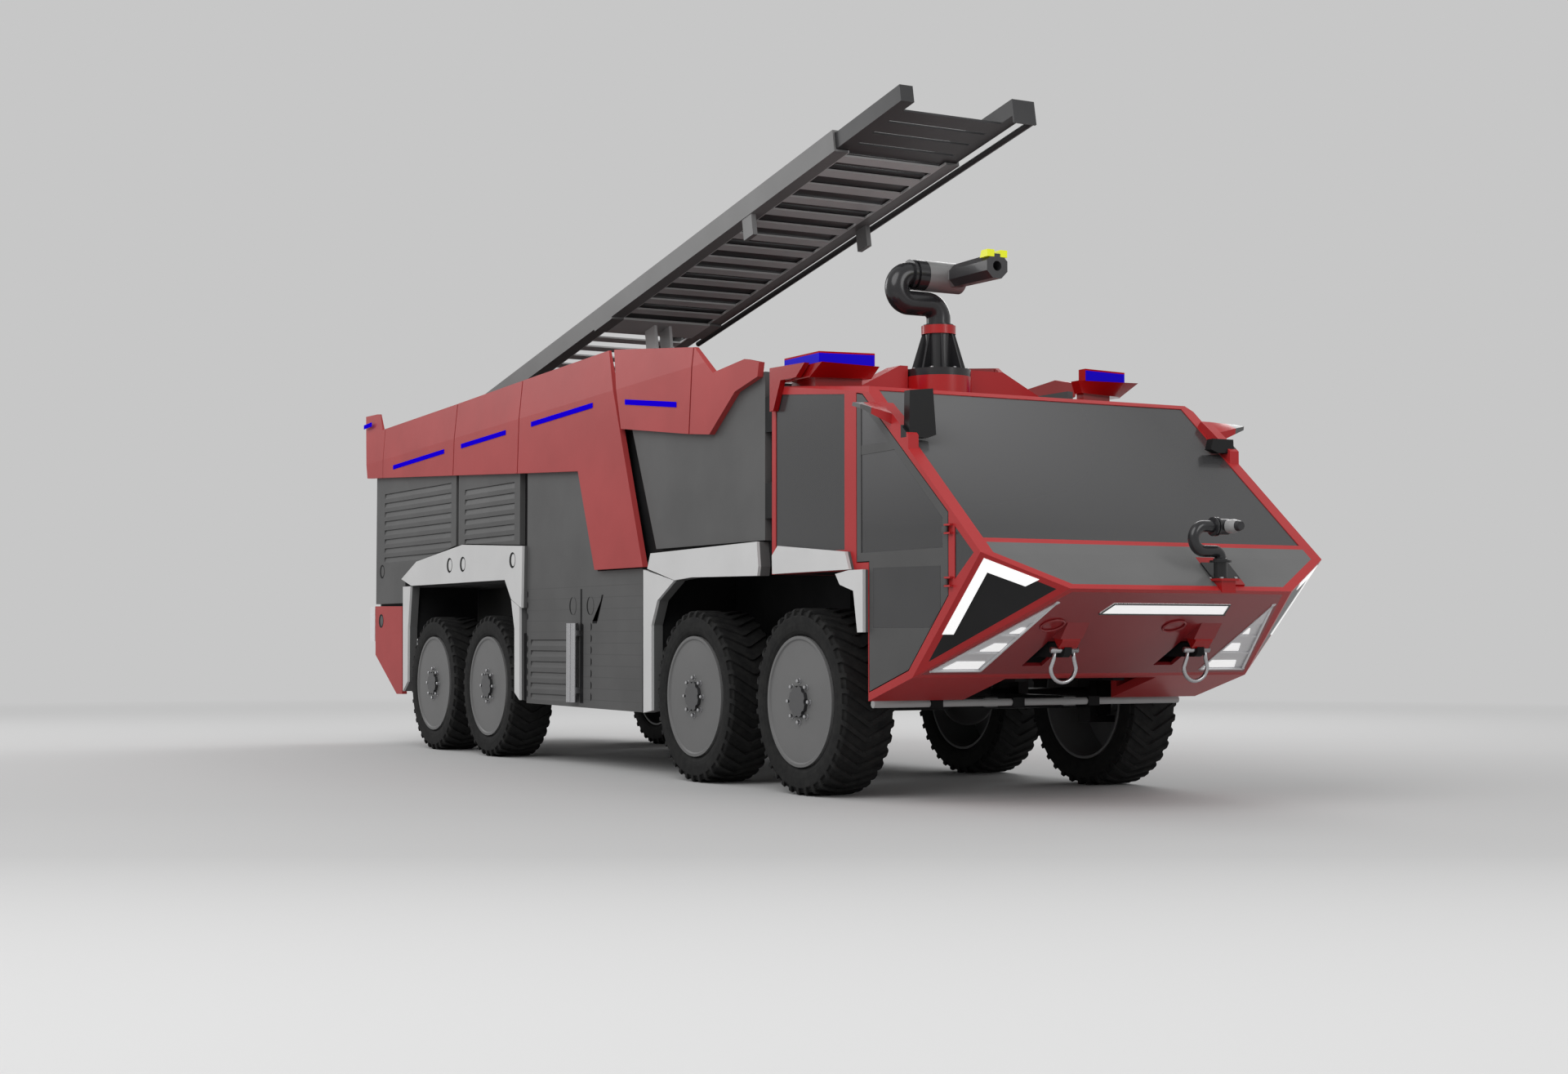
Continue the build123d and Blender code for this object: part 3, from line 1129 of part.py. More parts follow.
with BuildPart() as body_upper:
    beam_between(((BODY_REAR, ARCH_TOP), (BODY_REAR, DECK_HEIGHT), (BODY_FRONT, DECK_HEIGHT),
                  (BODY_FRONT, ARCH_TOP)), BODY_HALF_WIDTH)
    with Locations((at(ENGINE_STATION), 0, 1100 + 500)):
        Box(ENGINE_SIZE[0] + 200, ENGINE_SIZE[1] + 200, 1000, mode=Mode.SUBTRACT)
body_upper.part.label = "body_upper"
export_step(body_upper.part, "parts/body_upper.step")

with BuildPart() as body_lower:
    for side in SIDES:
        for start, end, bottom in ((REAR_ARCH[1], FRONT_ARCH[0], FLANK_BOTTOM + 60),
                                   (BODY_REAR, REAR_ARCH[0], FLANK_BOTTOM + 620)):
            flank_plate(((start, bottom), (start, ARCH_TOP), (end, ARCH_TOP), (end, bottom)),
                        BODY_HALF_WIDTH, BODY_HALF_WIDTH - ARCH_CORE_HALF_WIDTH, side)
    beam_between(((300, RAIL_TOP), (300, ARCH_TOP), (BODY_FRONT, ARCH_TOP),
                  (BODY_FRONT, RAIL_TOP)), ARCH_CORE_HALF_WIDTH - TANK_GAP)
body_lower.part.label = "body_lower"
export_step(body_lower.part, "parts/body_lower.step")

RED_PANELS = (
    # outlines by station and height: rear fin, three sloped panels, step panel, nose panel
    ((-2375, 3689), (-1974, 3682), (-1853, 3672), (-1738, 3486), (-1650, 3489), (-1650, 2942), (-2184, 2968)),
    ((-1638, 3489), (620, 3559), (562, 2827), (-1638, 2941)),
    ((640, 3560), (2372, 3620), (2308, 2734), (582, 2826)),
    ((2392, 3621), (4376, 3684), (5139, 1759), (4138, 1761), (3762, 2660), (2330, 2733)),
    ((4485, 3679), (6066, 3518), (6002, 2815), (4689, 2966)),
    ((6086, 3517), (6436, 3271), (6974, 3321), (7215, 3272), (7188, 3162), (6813, 3082), (6373, 2782),
     (6022, 2814)),
)
RED_THICKNESS = 50.0
FOLD_START = (-2375.0, 3121.0)
FOLD_CLIMB = 0.0283
FOLD_LEAN = 0.072


def fold_plane(side):
    """Plane through the fold line of the red panels, leaning in above it."""
    return Plane(origin=(at(FOLD_START[0]), side * TRIM_OUTER_Y, FOLD_START[1]),
                 x_dir=Vector(1, 0, FOLD_CLIMB).normalized(),
                 z_dir=Vector(-FOLD_CLIMB * FOLD_LEAN, side, FOLD_LEAN).normalized())


REAR_CORNER = ((-2013, 1517), (-1114, 1506), (-1089, 552), (-1267, 549), (-1998, 973))

with BuildPart() as upper_panels:
    for side in SIDES:
        for panel in RED_PANELS:
            flank_plate(panel, TRIM_OUTER_Y, RED_THICKNESS, side)
        split(bisect_by=fold_plane(side), keep=Keep.BOTTOM)
        flank_plate(REAR_CORNER, PANEL_OUTER_Y, LOCKER_THICKNESS, side)
upper_panels.part.label = "upper_panels"
export_step(upper_panels.part, "parts/upper_panels.step")

LOCKERS = (
    # outlines by station and height: rear shutters, middle shutter, panel ahead of the step
    ((-1990, 1540), (-1990, 3120), (541, 3120), (541, 2110), (-520, 1985), (-1010, 1805), (-1010, 1540)),
    ((612, 2110), (612, 3120), (2270, 3120), (2270, 2052), (860, 2115)),
    ((2460, 545), (2460, 3120), (3740, 3120), (3740, 2650), (4100, 1750), (5030, 1750), (5030, 530)),
    ((5300, 1905), (4700, 3200), (7222, 3200), (7222, 1905)),
)
LOUVRES = (
    # start and end of a slot, height of the lowest one, how many
    (-1710, 395, 2056, 8),
    (790, 2130, 2060, 7),
    (2560, 3480, 640, 6),
)
LOUVRE_PITCH = 101.0
LOUVRE_DEPTH = 14.0
LOUVRE_SLOPE = 62.0
REAR_PLATE = 50.0
REAR_PLATE_FOOT = 1150.0

with BuildPart() as locker_panels:
    for side in SIDES:
        for panel in LOCKERS:
            flank_plate(panel, PANEL_OUTER_Y, LOCKER_THICKNESS, side)
        for start, end, low, count in LOUVRES:
            for blade in range(count):
                edge = low + blade * LOUVRE_PITCH
                with BuildSketch(Plane(origin=(at(start), 0, 0), x_dir=(0, 1, 0), z_dir=(1, 0, 0))) as slot:
                    with BuildLine():
                        Polyline([(side * (PANEL_OUTER_Y + 1), edge), (side * (PANEL_OUTER_Y - LOUVRE_DEPTH), edge),
                                  (side * (PANEL_OUTER_Y + 1), edge - LOUVRE_SLOPE)], close=True)
                    make_face()
                extrude(slot.sketch, amount=end - start, mode=Mode.SUBTRACT)
    beam_between(((BODY_REAR - REAR_PLATE, REAR_PLATE_FOOT), (BODY_REAR - REAR_PLATE, DECK_HEIGHT - 160),
                  (BODY_REAR, DECK_HEIGHT - 160), (BODY_REAR, REAR_PLATE_FOOT)), BODY_HALF_WIDTH - TANK_GAP)
locker_panels.part.label = "locker_panels"
export_step(locker_panels.part, "parts/locker_panels.step")

ARCH_TRIMS = (
    # outlines by station and height: rear arch band and legs, front arch band and leg
    ((-1001, 1799), (-523, 1974), (850, 2104), (2457, 2034), (2440, 1446), (2178, 1532), (2011, 1722),
     (-675, 1720)),
    ((-946, 1715), (-700, 1715), (-771, 1274), (-772, 695), (-920, 587)),
    ((2179, 1525), (2392, 1455), (2405, 571), (2277, 641), (2267, 1246)),
    ((5228, 1741), (5289, 1868), (7180, 1895), (7205, 1704), (7189, 1634), (6046, 1649), (5746, 1632)),
    ((5149, 1735), (5740, 1630), (5425, 1471), (5313, 1266), (5319, 554), (5159, 532)),
)

CAB_TRIMS = (
    # outlines by station and height: band under the cab window, leg ahead of the wheel
    ((7509, 1850), (8510, 1773), (8566, 1645), (7427, 1641), (7421, 1782)),
    ((8568, 1640), (8757, 1640), (8757, 1199), (8681, 1198), (8625, 1492), (8436, 1539), (8372, 1617)),
)

with BuildPart() as arch_trims:
    for side in SIDES:
        for panel in ARCH_TRIMS:
            flank_plate(panel, TRIM_OUTER_Y, TRIM_THICKNESS, side)
        flank_plate(CAB_TRIMS[0], TRIM_OUTER_Y, TRIM_OUTER_Y - CAB_HALF_WIDTH, side)
        flank_plate(CAB_TRIMS[1], TRIM_OUTER_Y, TRIM_THICKNESS, side)
arch_trims.part.label = "arch_trims"
export_step(arch_trims.part, "parts/arch_trims.step")

FLANK_PIPE_STATIONS = (3589.0, 3688.0)
FLANK_PIPE_RADIUS = 33.0
FLANK_PIPE_HEIGHTS = (582.0, 1293.0)
FLANK_CLAMP_HEIGHTS = (689.0, 1203.0)
FLANK_CLAMP = (170.0, 44.0, 50.0)

with BuildPart() as flank_pipes:
    for side in SIDES:
        pipe_y = side * (PANEL_OUTER_Y + FLANK_CLAMP[1])
        for station in FLANK_PIPE_STATIONS:
            with BuildSketch(Plane((at(station), pipe_y, FLANK_PIPE_HEIGHTS[0]))) as pipe:
                Circle(FLANK_PIPE_RADIUS)
            extrude(pipe.sketch, amount=FLANK_PIPE_HEIGHTS[1] - FLANK_PIPE_HEIGHTS[0])
        for height in FLANK_CLAMP_HEIGHTS:
            with Locations((at(sum(FLANK_PIPE_STATIONS) / 2), side * (PANEL_OUTER_Y + FLANK_CLAMP[1] / 2), height)):
                Box(FLANK_CLAMP[0], FLANK_CLAMP[1], FLANK_CLAMP[2])
flank_pipes.part.label = "flank_pipes"
export_step(flank_pipes.part, "parts/flank_pipes.step")

TAIL_LAMP = (46.0, 160.0, 420.0)
TAIL_LAMP_INSET = 155.0
TAIL_LAMP_HEIGHT = 1250.0

with BuildPart() as tail_lamps:
    for side in SIDES:
        with Locations((at(BODY_REAR - REAR_PLATE - TAIL_LAMP[0] / 2), side * (BODY_HALF_WIDTH - TAIL_LAMP_INSET),
                        TAIL_LAMP_HEIGHT)):
            Box(TAIL_LAMP[0], TAIL_LAMP[1], TAIL_LAMP[2])
tail_lamps.part.label = "tail_lamps"
export_step(tail_lamps.part, "parts/tail_lamps.step")


# Ladder: base section hinged at the rear of the deck, fly section sliding in its rails

LADDER_PIVOT = (-1450.0, DECK_HEIGHT + 530.0)
LADDER_ANGLE = 10.4
LIFT_FOOT = (-200.0, DECK_HEIGHT + 110.0)
LIFT_EYE = (2350.0, DECK_HEIGHT + 830.0)
LIFT_BARREL_LENGTH = 1500.0
LIFT_ROD_LENGTH = 2400.0
CLEVIS_CHEEK = 30.0
CLEVIS_REACH = ((LIFT_EYE[0] - LADDER_PIVOT[0]) * math.cos(math.radians(LADDER_ANGLE))
                + (LIFT_EYE[1] - LADDER_PIVOT[1]) * math.sin(math.radians(LADDER_ANGLE)))
CLEVIS_DROP = ((LIFT_EYE[0] - LADDER_PIVOT[0]) * math.sin(math.radians(LADDER_ANGLE))
               - (LIFT_EYE[1] - LADDER_PIVOT[1]) * math.cos(math.radians(LADDER_ANGLE)))
BASE_LENGTH = 8390.0
BASE_TAIL = 150.0
BASE_RAIL_HEIGHT = 181.0
BASE_HALF_WIDTH = 600.0
RAIL_FLANGE = 140.0
RAIL_WEB = 18.0
FLY_HALF_WIDTH = 576.0
FLY_RAIL_WIDTH = 120.0
FLY_RAIL_HEIGHT = 134.0
FLY_LENGTH = 6000.0
FLY_PROUD = 1000.0
FLY_END_PLATE = 20.0
FLY_RUNG_PITCH = 232.0
FLY_RUNG_LENGTH = 196.0
RUNG_PITCH = 310.0
RUNG_LENGTH = 130.0
RUNG_THICKNESS = 16.0
LEG_STATION = 6760.0
LEG_LENGTH = 170.0
LEG_DROP = 190.0
LEG_THICKNESS = 45.0
WATER_PIPE_RADIUS = 26.0
WATER_PIPE_GAP = 16.0
WATER_PIPE_LOW = 60.0

ladder_plane = Plane(origin=(at(LADDER_PIVOT[0]), 0, LADDER_PIVOT[1]), x_dir=(
    math.cos(math.radians(LADDER_ANGLE)), 0, math.sin(math.radians(LADDER_ANGLE))), z_dir=(
    -math.sin(math.radians(LADDER_ANGLE)), 0, math.cos(math.radians(LADDER_ANGLE))))


def ladder_box(start, length, y_middle, width, low, height, mode=Mode.ADD):
    """Box in the ladder's frame: along it from start, across it, and up from low."""
    with BuildSketch(ladder_plane.offset(low)) as foot:
        with Locations((start + length / 2, y_middle)):
            Rectangle(length, width)
    extrude(foot.sketch, amount=height, mode=mode)


def ladder_point(along, up, across):
    """Point in the ladder's frame: along it, up from its plane and across it."""
    return ladder_plane.origin + ladder_plane.x_dir * along + ladder_plane.z_dir * up + Vector(0, across, 0)


half_rail = BASE_RAIL_HEIGHT / 2

with BuildPart() as ladder_base:
    for side in SIDES:
        ladder_box(-BASE_TAIL, BASE_LENGTH + BASE_TAIL, side * (BASE_HALF_WIDTH - RAIL_FLANGE / 2),
                   RAIL_FLANGE, -half_rail, BASE_RAIL_HEIGHT)
        ladder_box(200, BASE_LENGTH, side * (BASE_HALF_WIDTH - RAIL_WEB - RAIL_FLANGE / 2),
                   RAIL_FLANGE, -half_rail + RAIL_WEB, BASE_RAIL_HEIGHT - 2 * RAIL_WEB, Mode.SUBTRACT)
    rung_count = int(BASE_LENGTH / RUNG_PITCH)
    for step in range(rung_count):
        ladder_box(120 + step * RUNG_PITCH, RUNG_LENGTH, 0, 2 * (BASE_HALF_WIDTH - RAIL_FLANGE),
                   -half_rail, RUNG_THICKNESS)
    with BuildSketch(Plane(origin=(at(LADDER_PIVOT[0]), -BASE_HALF_WIDTH - 60, LADDER_PIVOT[1]),
                           x_dir=(1, 0, 0), z_dir=(0, 1, 0))) as pivot_bar:
        Circle(45)
    extrude(pivot_bar.sketch, amount=2 * (BASE_HALF_WIDTH + 60), dir=(0, 1, 0))
    ladder_box(CLEVIS_REACH - 210, 420, 0, 2 * BASE_HALF_WIDTH, -half_rail - 20, 20)
    for side in SIDES:
        ladder_box(CLEVIS_REACH - 110, 220, side * 80, CLEVIS_CHEEK, -CLEVIS_DROP - 90,
                   CLEVIS_DROP + 90 - half_rail)
        ladder_box(LEG_STATION, LEG_LENGTH, side * (BASE_HALF_WIDTH - 5 - LEG_THICKNESS / 2), LEG_THICKNESS,
                   -half_rail - LEG_DROP, LEG_DROP)
ladder_base.part.label = "ladder_base"
export_step(ladder_base.part, "parts/ladder_base.step")

fly_low = -FLY_RAIL_HEIGHT / 2
fly_start = BASE_LENGTH + FLY_PROUD - FLY_LENGTH

with BuildPart() as ladder_fly:
    for side in SIDES:
        ladder_box(fly_start, FLY_LENGTH, side * (FLY_HALF_WIDTH - FLY_RAIL_WIDTH / 2),
                   FLY_RAIL_WIDTH, fly_low, FLY_RAIL_HEIGHT)
    for step in range(int((FLY_LENGTH - FLY_RUNG_LENGTH) / FLY_RUNG_PITCH)):
        ladder_box(fly_start + 60 + step * FLY_RUNG_PITCH, FLY_RUNG_LENGTH, 0,
                   2 * (FLY_HALF_WIDTH - FLY_RAIL_WIDTH), fly_low, RUNG_THICKNESS)
    pipe_y = BASE_HALF_WIDTH + WATER_PIPE_GAP + WATER_PIPE_RADIUS
    fly_end = fly_start + FLY_LENGTH
    plate_inner = FLY_HALF_WIDTH - FLY_RAIL_WIDTH
    plate_outer = pipe_y + WATER_PIPE_RADIUS
    ladder_box(fly_end, FLY_END_PLATE, (plate_inner + plate_outer) / 2, plate_outer - plate_inner,
               fly_low - WATER_PIPE_LOW, FLY_RAIL_HEIGHT + WATER_PIPE_LOW)
    with BuildSketch(Plane(origin=ladder_point(fly_end, fly_low - WATER_PIPE_LOW + WATER_PIPE_RADIUS, pipe_y),
                           x_dir=(0, 1, 0), z_dir=ladder_plane.x_dir * -1)) as water_pipe:
        Circle(WATER_PIPE_RADIUS)
    extrude(water_pipe.sketch, amount=FLY_LENGTH)
ladder_fly.part.label = "ladder_fly"
export_step(ladder_fly.part, "parts/ladder_fly.step")

with BuildPart() as ladder_bracket:
    with Locations((at(LADDER_PIVOT[0]), 0, DECK_HEIGHT + 20)):
        Box(500, 2 * BASE_HALF_WIDTH + 160, 40)
    for side in SIDES:
        flank_plate(((LADDER_PIVOT[0] - 220, DECK_HEIGHT + 10), (LADDER_PIVOT[0] - 80, LADDER_PIVOT[1] + 80),
                     (LADDER_PIVOT[0] + 80, LADDER_PIVOT[1] + 80), (LADDER_PIVOT[0] + 220, DECK_HEIGHT + 10)),
                    BASE_HALF_WIDTH + 55, 40, side)
        with Locations(Location((at(LADDER_PIVOT[0]), side * (BASE_HALF_WIDTH + 40), LADDER_PIVOT[1]),
                                (90, 0, 0))):
            Cylinder(45 + RUNNING_FIT, 300, mode=Mode.SUBTRACT)
    for side in SIDES:
        flank_plate(((LIFT_FOOT[0] - 130, DECK_HEIGHT), (LIFT_FOOT[0] - 60, LIFT_FOOT[1] + 70),
                     (LIFT_FOOT[0] + 60, LIFT_FOOT[1] + 70), (LIFT_FOOT[0] + 130, DECK_HEIGHT)),
                    125, 35, side)
    with Locations(Location((at(LIFT_FOOT[0]), 0, LIFT_FOOT[1]), (90, 0, 0))):
        Cylinder(35, 240)
ladder_bracket.part.label = "ladder_bracket"
export_step(ladder_bracket.part, "parts/ladder_bracket.step")

# Lift cylinder: barrel hinged on the deck, rod up to the clevis under the ladder

lift_direction = Vector(LIFT_EYE[0] - LIFT_FOOT[0], 0, LIFT_EYE[1] - LIFT_FOOT[1]).normalized()
lift_length = math.dist(LIFT_FOOT, LIFT_EYE)


def lift_tube(start, length, radius, mode=Mode.ADD):
    foot = Vector(at(LIFT_FOOT[0]), 0, LIFT_FOOT[1]) + lift_direction * start
    with BuildSketch(Plane(origin=foot, x_dir=(0, 1, 0), z_dir=lift_direction)) as ring:
        Circle(radius)
    extrude(ring.sketch, amount=length, mode=mode)


with BuildPart() as lift_barrel:
    lift_tube(0, LIFT_BARREL_LENGTH, 75)
    with Locations(Location((at(LIFT_FOOT[0]), 0, LIFT_FOOT[1]), (90, 0, 0))):
        Cylinder(80, 110)
    lift_tube(90, LIFT_BARREL_LENGTH, 45 + RUNNING_FIT, Mode.SUBTRACT)
    with Locations(Location((at(LIFT_FOOT[0]), 0, LIFT_FOOT[1]), (90, 0, 0))):
        Cylinder(35 + RUNNING_FIT, 300, mode=Mode.SUBTRACT)
lift_barrel.part.label = "lift_barrel"
export_step(lift_barrel.part, "parts/lift_barrel.step")

with BuildPart() as lift_rod:
    lift_tube(lift_length - LIFT_ROD_LENGTH, LIFT_ROD_LENGTH - 60, 45)
    with Locations(Location((at(LIFT_EYE[0]), 0, LIFT_EYE[1]), (90, 0, 0))):
        Cylinder(75, 100)
    with Locations(Location((at(LIFT_EYE[0]), 0, LIFT_EYE[1]), (90, 0, 0))):
        Cylinder(35, 300, mode=Mode.SUBTRACT)
lift_rod.part.label = "lift_rod"
export_step(lift_rod.part, "parts/lift_rod.step")
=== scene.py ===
# %% [markdown]
# # An airport fire truck, dressed around its CAD model
#
# The imported CAD model gives every solid in its place, in metres, with +X forwards, +Y to the
# vehicle's left and +Z up. This lesson leaves those solids where they are, paints them, and adds
# what is too fine for CAD: tread, nuts, latches, stripes, lamp cells, the smooth skins of the
# monitors' pipes and the studio around it.

# %% Load the CAD frame
import math

import bpy
import numpy as np
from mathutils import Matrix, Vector


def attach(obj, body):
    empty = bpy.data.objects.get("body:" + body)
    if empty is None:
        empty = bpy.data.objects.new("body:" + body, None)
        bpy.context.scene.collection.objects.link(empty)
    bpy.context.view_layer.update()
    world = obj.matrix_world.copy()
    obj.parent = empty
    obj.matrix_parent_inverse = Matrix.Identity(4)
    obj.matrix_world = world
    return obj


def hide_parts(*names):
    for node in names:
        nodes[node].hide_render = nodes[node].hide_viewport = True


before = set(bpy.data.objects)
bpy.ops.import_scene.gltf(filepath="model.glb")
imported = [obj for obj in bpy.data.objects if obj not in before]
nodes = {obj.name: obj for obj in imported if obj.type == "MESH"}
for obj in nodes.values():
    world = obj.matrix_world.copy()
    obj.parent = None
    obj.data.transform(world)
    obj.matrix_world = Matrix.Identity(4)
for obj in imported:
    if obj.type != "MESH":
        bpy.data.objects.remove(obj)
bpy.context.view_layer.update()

# %% [markdown]
# ## Shader maths as plain expressions
#
# A shader is a graph of nodes, and long graphs of Math nodes are hard to read. A small class wraps
# a socket, so that `1 - mask * 0.5` in Python adds the nodes for it. Colours go through Mix,
# because a Math node would turn a colour grey.


# %% A socket that takes part in sums
class Field:
    """A number that varies over a surface: each operator adds the Math node of its name."""

    def __init__(self, finish, socket):
        self.finish, self.socket = finish, socket

    def math(self, operation, *others):
        inputs = {index: other for index, other in enumerate((self, *others))}
        return self.finish.node("ShaderNodeMath", {"operation": operation}, inputs)[0]

    def __add__(self, other):
        return self.math("ADD", other)

    def __radd__(self, other):
        return self.math("ADD", other)

    def __sub__(self, other):
        return self.math("SUBTRACT", other)

    def __rsub__(self, other):
        return (self * -1) + other

    def __mul__(self, other):
        return self.math("MULTIPLY", other)

    def __rmul__(self, other):
        return self.math("MULTIPLY", other)

    def __truediv__(self, other):
        return self.math("DIVIDE", other)

    def __pow__(self, other):
        return self.math("POWER", other)

    def __gt__(self, other):
        return self.math("GREATER_THAN", other)

    def __lt__(self, other):
        return self.math("LESS_THAN", other)

    def absolute(self):
        return self.math("ABSOLUTE")

    def fraction(self):
        return self.math("FRACT")

    def least(self, other):
        return self.math("MINIMUM", other)

    def most(self, other):
        return self.math("MAXIMUM", other)

    def clamped(self):
        return self.most(0.0).least(1.0)

    def ramp(self, start, end):
        """0 below start, 1 above end, straight between them."""
        return ((self - start) / (end - start)).clamped()


# %% [markdown]
# ## One class for a material
#
# A finish holds one material. It sets the Principled shader's sockets by name, and a tint lays a
# second colour over the first wherever a mask is 1, so one CAD node can wear several colours.


# %% A finish: one material and the one method that adds its nodes
# Places of the Object output on Texture Coordinate, and of the colours on Mix
OBJECT_OUTPUT, MIX_LOW, MIX_HIGH, MIX_OUTPUT = 3, 6, 7, 2


class Finish:
    """A material whose Principled shader is set by name, with helpers for its patterns."""

    def __init__(self, name, colour, roughness=0.5, metallic=0.0, **settings):
        self.material = bpy.data.materials.new(name)
        self.material.use_nodes = True
        self.tree = self.material.node_tree
        self.shader = self.tree.nodes["Principled BSDF"]
        self.set("Base Color", (*colour, 1.0))
        self.set("Roughness", roughness)
        self.set("Metallic", metallic)
        for key, value in settings.items():
            self.set(key.replace("_", " ").title().replace("Ior", "IOR"), value)

    def set(self, socket, value):
        self.plug(self.shader.inputs[socket], value)

    def plug(self, socket, value):
        """Puts a number, a colour or another node's output on a socket."""
        if isinstance(value, Field):
            self.tree.links.new(value.socket, socket)
        else:
            socket.default_value = value

    def node(self, kind, settings=None, inputs=None):
        """Adds a node of a type, sets its properties, then its sockets, and returns its outputs."""
        made = self.tree.nodes.new(kind)
        for key, value in (settings or {}).items():
            setattr(made, key, value)
        for key, value in (inputs or {}).items():
            self.plug(made.inputs[key], value)
        return [Field(self, output) for output in made.outputs]

    def point(self):
        """A point on the surface, in metres in the vehicle's frame."""
        return self.node("ShaderNodeTexCoord")[OBJECT_OUTPUT]

    def place(self):
        """The X, Y and Z of a point on the surface."""
        return self.node("ShaderNodeSeparateXYZ", inputs={0: self.point()})

    def noise(self, scale, detail=4.0, roughness=0.5):
        return self.node("ShaderNodeTexNoise", inputs={
            "Vector": self.point(), "Scale": scale, "Detail": detail, "Roughness": roughness})[0]

    def mix(self, amount, low, high):
        """The colour low where amount is 0 and high where it is 1."""
        low, high = [colour if isinstance(colour, Field) else (*colour, 1.0)
                     for colour in (low, high)]
        return self.node("ShaderNodeMix", {"data_type": "RGBA"}, {
            "Factor": amount, MIX_LOW: low, MIX_HIGH: high})[MIX_OUTPUT]

    def tint(self, mask, colour):
        """Lays a second colour over the finish where the mask is 1."""
        socket = self.shader.inputs["Base Color"]
        below = tuple(socket.default_value)[:3]
        if socket.is_linked:
            below = Field(self, socket.links[0].from_socket)
        self.set("Base Color", self.mix(mask, below, colour))

    def bump(self, height, strength=0.3, distance=0.002):
        bumped = self.node("ShaderNodeBump", inputs={
            "Strength": strength, "Distance": distance, "Height": height})
        self.set("Normal", bumped[0])

    def facets(self, axis, per_metre, strength):
        """The prisms of a lens: a saw of so many teeth per metre along an axis of the vehicle."""
        self.bump((self.place()[axis] * per_metre).fraction(), strength)


def between(field, low, high):
    """1 where low < field < high, and 0 elsewhere."""
    return (field > low) * (field < high)


def least_of(fields):
    """The smallest of several fields."""
    lowest = fields[0]
    for field in fields[1:]:
        lowest = lowest.least(field)
    return lowest


def screen_colour(red, green, blue):
    """Linear values of a colour that a screen shows as red, green, blue from 0 to 255."""
    share = np.array([red, green, blue]) / 255.0
    return tuple(np.where(share <= 0.04045, share / 12.92, ((share + 0.055) / 1.055) ** 2.4))


# %% [markdown]
# ## Places that masks and pieces share
#
# A mask compares a point of the surface with a place in the vehicle's frame. The places have names,
# so a mask and a piece that meet at one edge also use one number.

# %% Places in metres
HUBS = (3.720, 1.984, -2.548, -4.100)
REAR_AXLE_X = HUBS[-1]
HUB_HEIGHT, WHEEL_Y = 0.690, 1.278
FLANK, TRIM = 1.450, 1.500
SIDES = ((-1, "right"), (1, "left"))
CAP_RADIUS, CAP_FOOT, CAP_TOP = 0.125, 1.4815, 1.5085
CROSS_TUBE_X, CROSS_TUBE_BACK, CROSS_TUBE_RADIUS = 4.560, 4.531, 0.03
# Pitch, share, span and top of the painted shadow lines under the louvre blades
LOUVRE_SHADOWS_PER_METRE, LOUVRE_SHADOW_SHARE, LOUVRE_SHADOW_SPAN, LOUVRE_SHADOW_TOP = 9.9, 0.07, (-1.66, 0.92), 1.66
TRIM_BACK = 1.476
RAIL_INNER_Y = 0.470
NOSE_POST_SPAN = (1.562, 1.700)
NOSE_PLATE_SPAN, NOSE_PLATE_BACK = (0.310, 0.550), 6.075
NOSE_DRUM_FRONT, NOSE_TIP_BACK = 6.345, 6.444
POST_RED_BELOW, POST_RED_ABOVE = 3.1785, 3.5156
HOUSING_BACK, HOUSING_TOP, NOZZLE_LAMPS_BACK = 3.69, 4.0615, 4.128
MIRROR_SPAN, MIRROR_LOW, ARM_END_Y = (5.094, 5.166), 2.534, 1.615
BEACON_RED_ABOVE, BEACON_RED_INSIDE = 3.263, 0.969
LIT_BAR_Y = 0.62

# %% [markdown]
# ## Paints
#
# The truck wears a satin red on its upper panels and a deeper, glossier red on its nose. Real
# paint is never one flat value: faint orange peel breaks up the reflections, and dust dulls the
# gloss in slow patches. Both come from noise in the vehicle's own metres, so they keep their
# scale on every piece.


# %% One recipe for all paints
PATCH_SCALE, DULL_SCALE, PEEL_SCALE = 1.7, 9.0, 260.0


def paint(name, colour, roughness, coat=0.0, dust=0.05, peel=0.03, shine=0.2):
    """Paint whose colour and gloss vary slowly, with fine orange peel in the normal."""
    made = Finish(name, colour, roughness, coat_weight=coat, coat_roughness=0.08,
                  specular_ior_level=shine)
    patches = made.noise(PATCH_SCALE, 5.0)
    dull = made.noise(DULL_SCALE, 6.0, 0.6)
    lighter = tuple(min(1.0, value * (1 + dust) + dust * 0.06) for value in colour)
    darker = tuple(value * (1 - dust) for value in colour)
    made.set("Base Color", made.mix(patches.ramp(0.35, 0.65), darker, lighter))
    made.set("Roughness", roughness * (1 - dust) + dull * (2 * dust * roughness))
    made.bump(made.noise(PEEL_SCALE, 2.0), peel, 0.0006)
    return made


RED = screen_colour(166, 60, 60)
FRAME_RED = screen_colour(170, 42, 44)
DEEP_RED = screen_colour(134, 33, 37)
SIGNAL_RED = screen_colour(150, 6, 8)
BLACK = screen_colour(26, 26, 27)
LAMP_YELLOW = screen_colour(226, 232, 0)
red_paint = paint("red_paint", RED, 0.45)
frame_red = paint("frame_red", FRAME_RED, 0.36, coat=0.1, dust=0.03)
deep_red_paint = paint("deep_red_paint", DEEP_RED, 0.2, coat=0.25, dust=0.03, shine=0.4)
signal_red = paint("signal_red", SIGNAL_RED, 0.2, coat=0.25, dust=0.02, shine=0.3)
# The nose monitor's post and flange are black above their red plate
signal_red.tint(between(signal_red.place()[2], *NOSE_POST_SPAN), BLACK)
grey_panel = paint("grey_panel", screen_colour(84, 84, 84), 0.5, dust=0.06)
door_grey = paint("door_grey", screen_colour(78, 78, 78), 0.4, dust=0.04)
hood_grey = paint("hood_grey", screen_colour(100, 100, 100), 0.25, coat=0.2, dust=0.04)
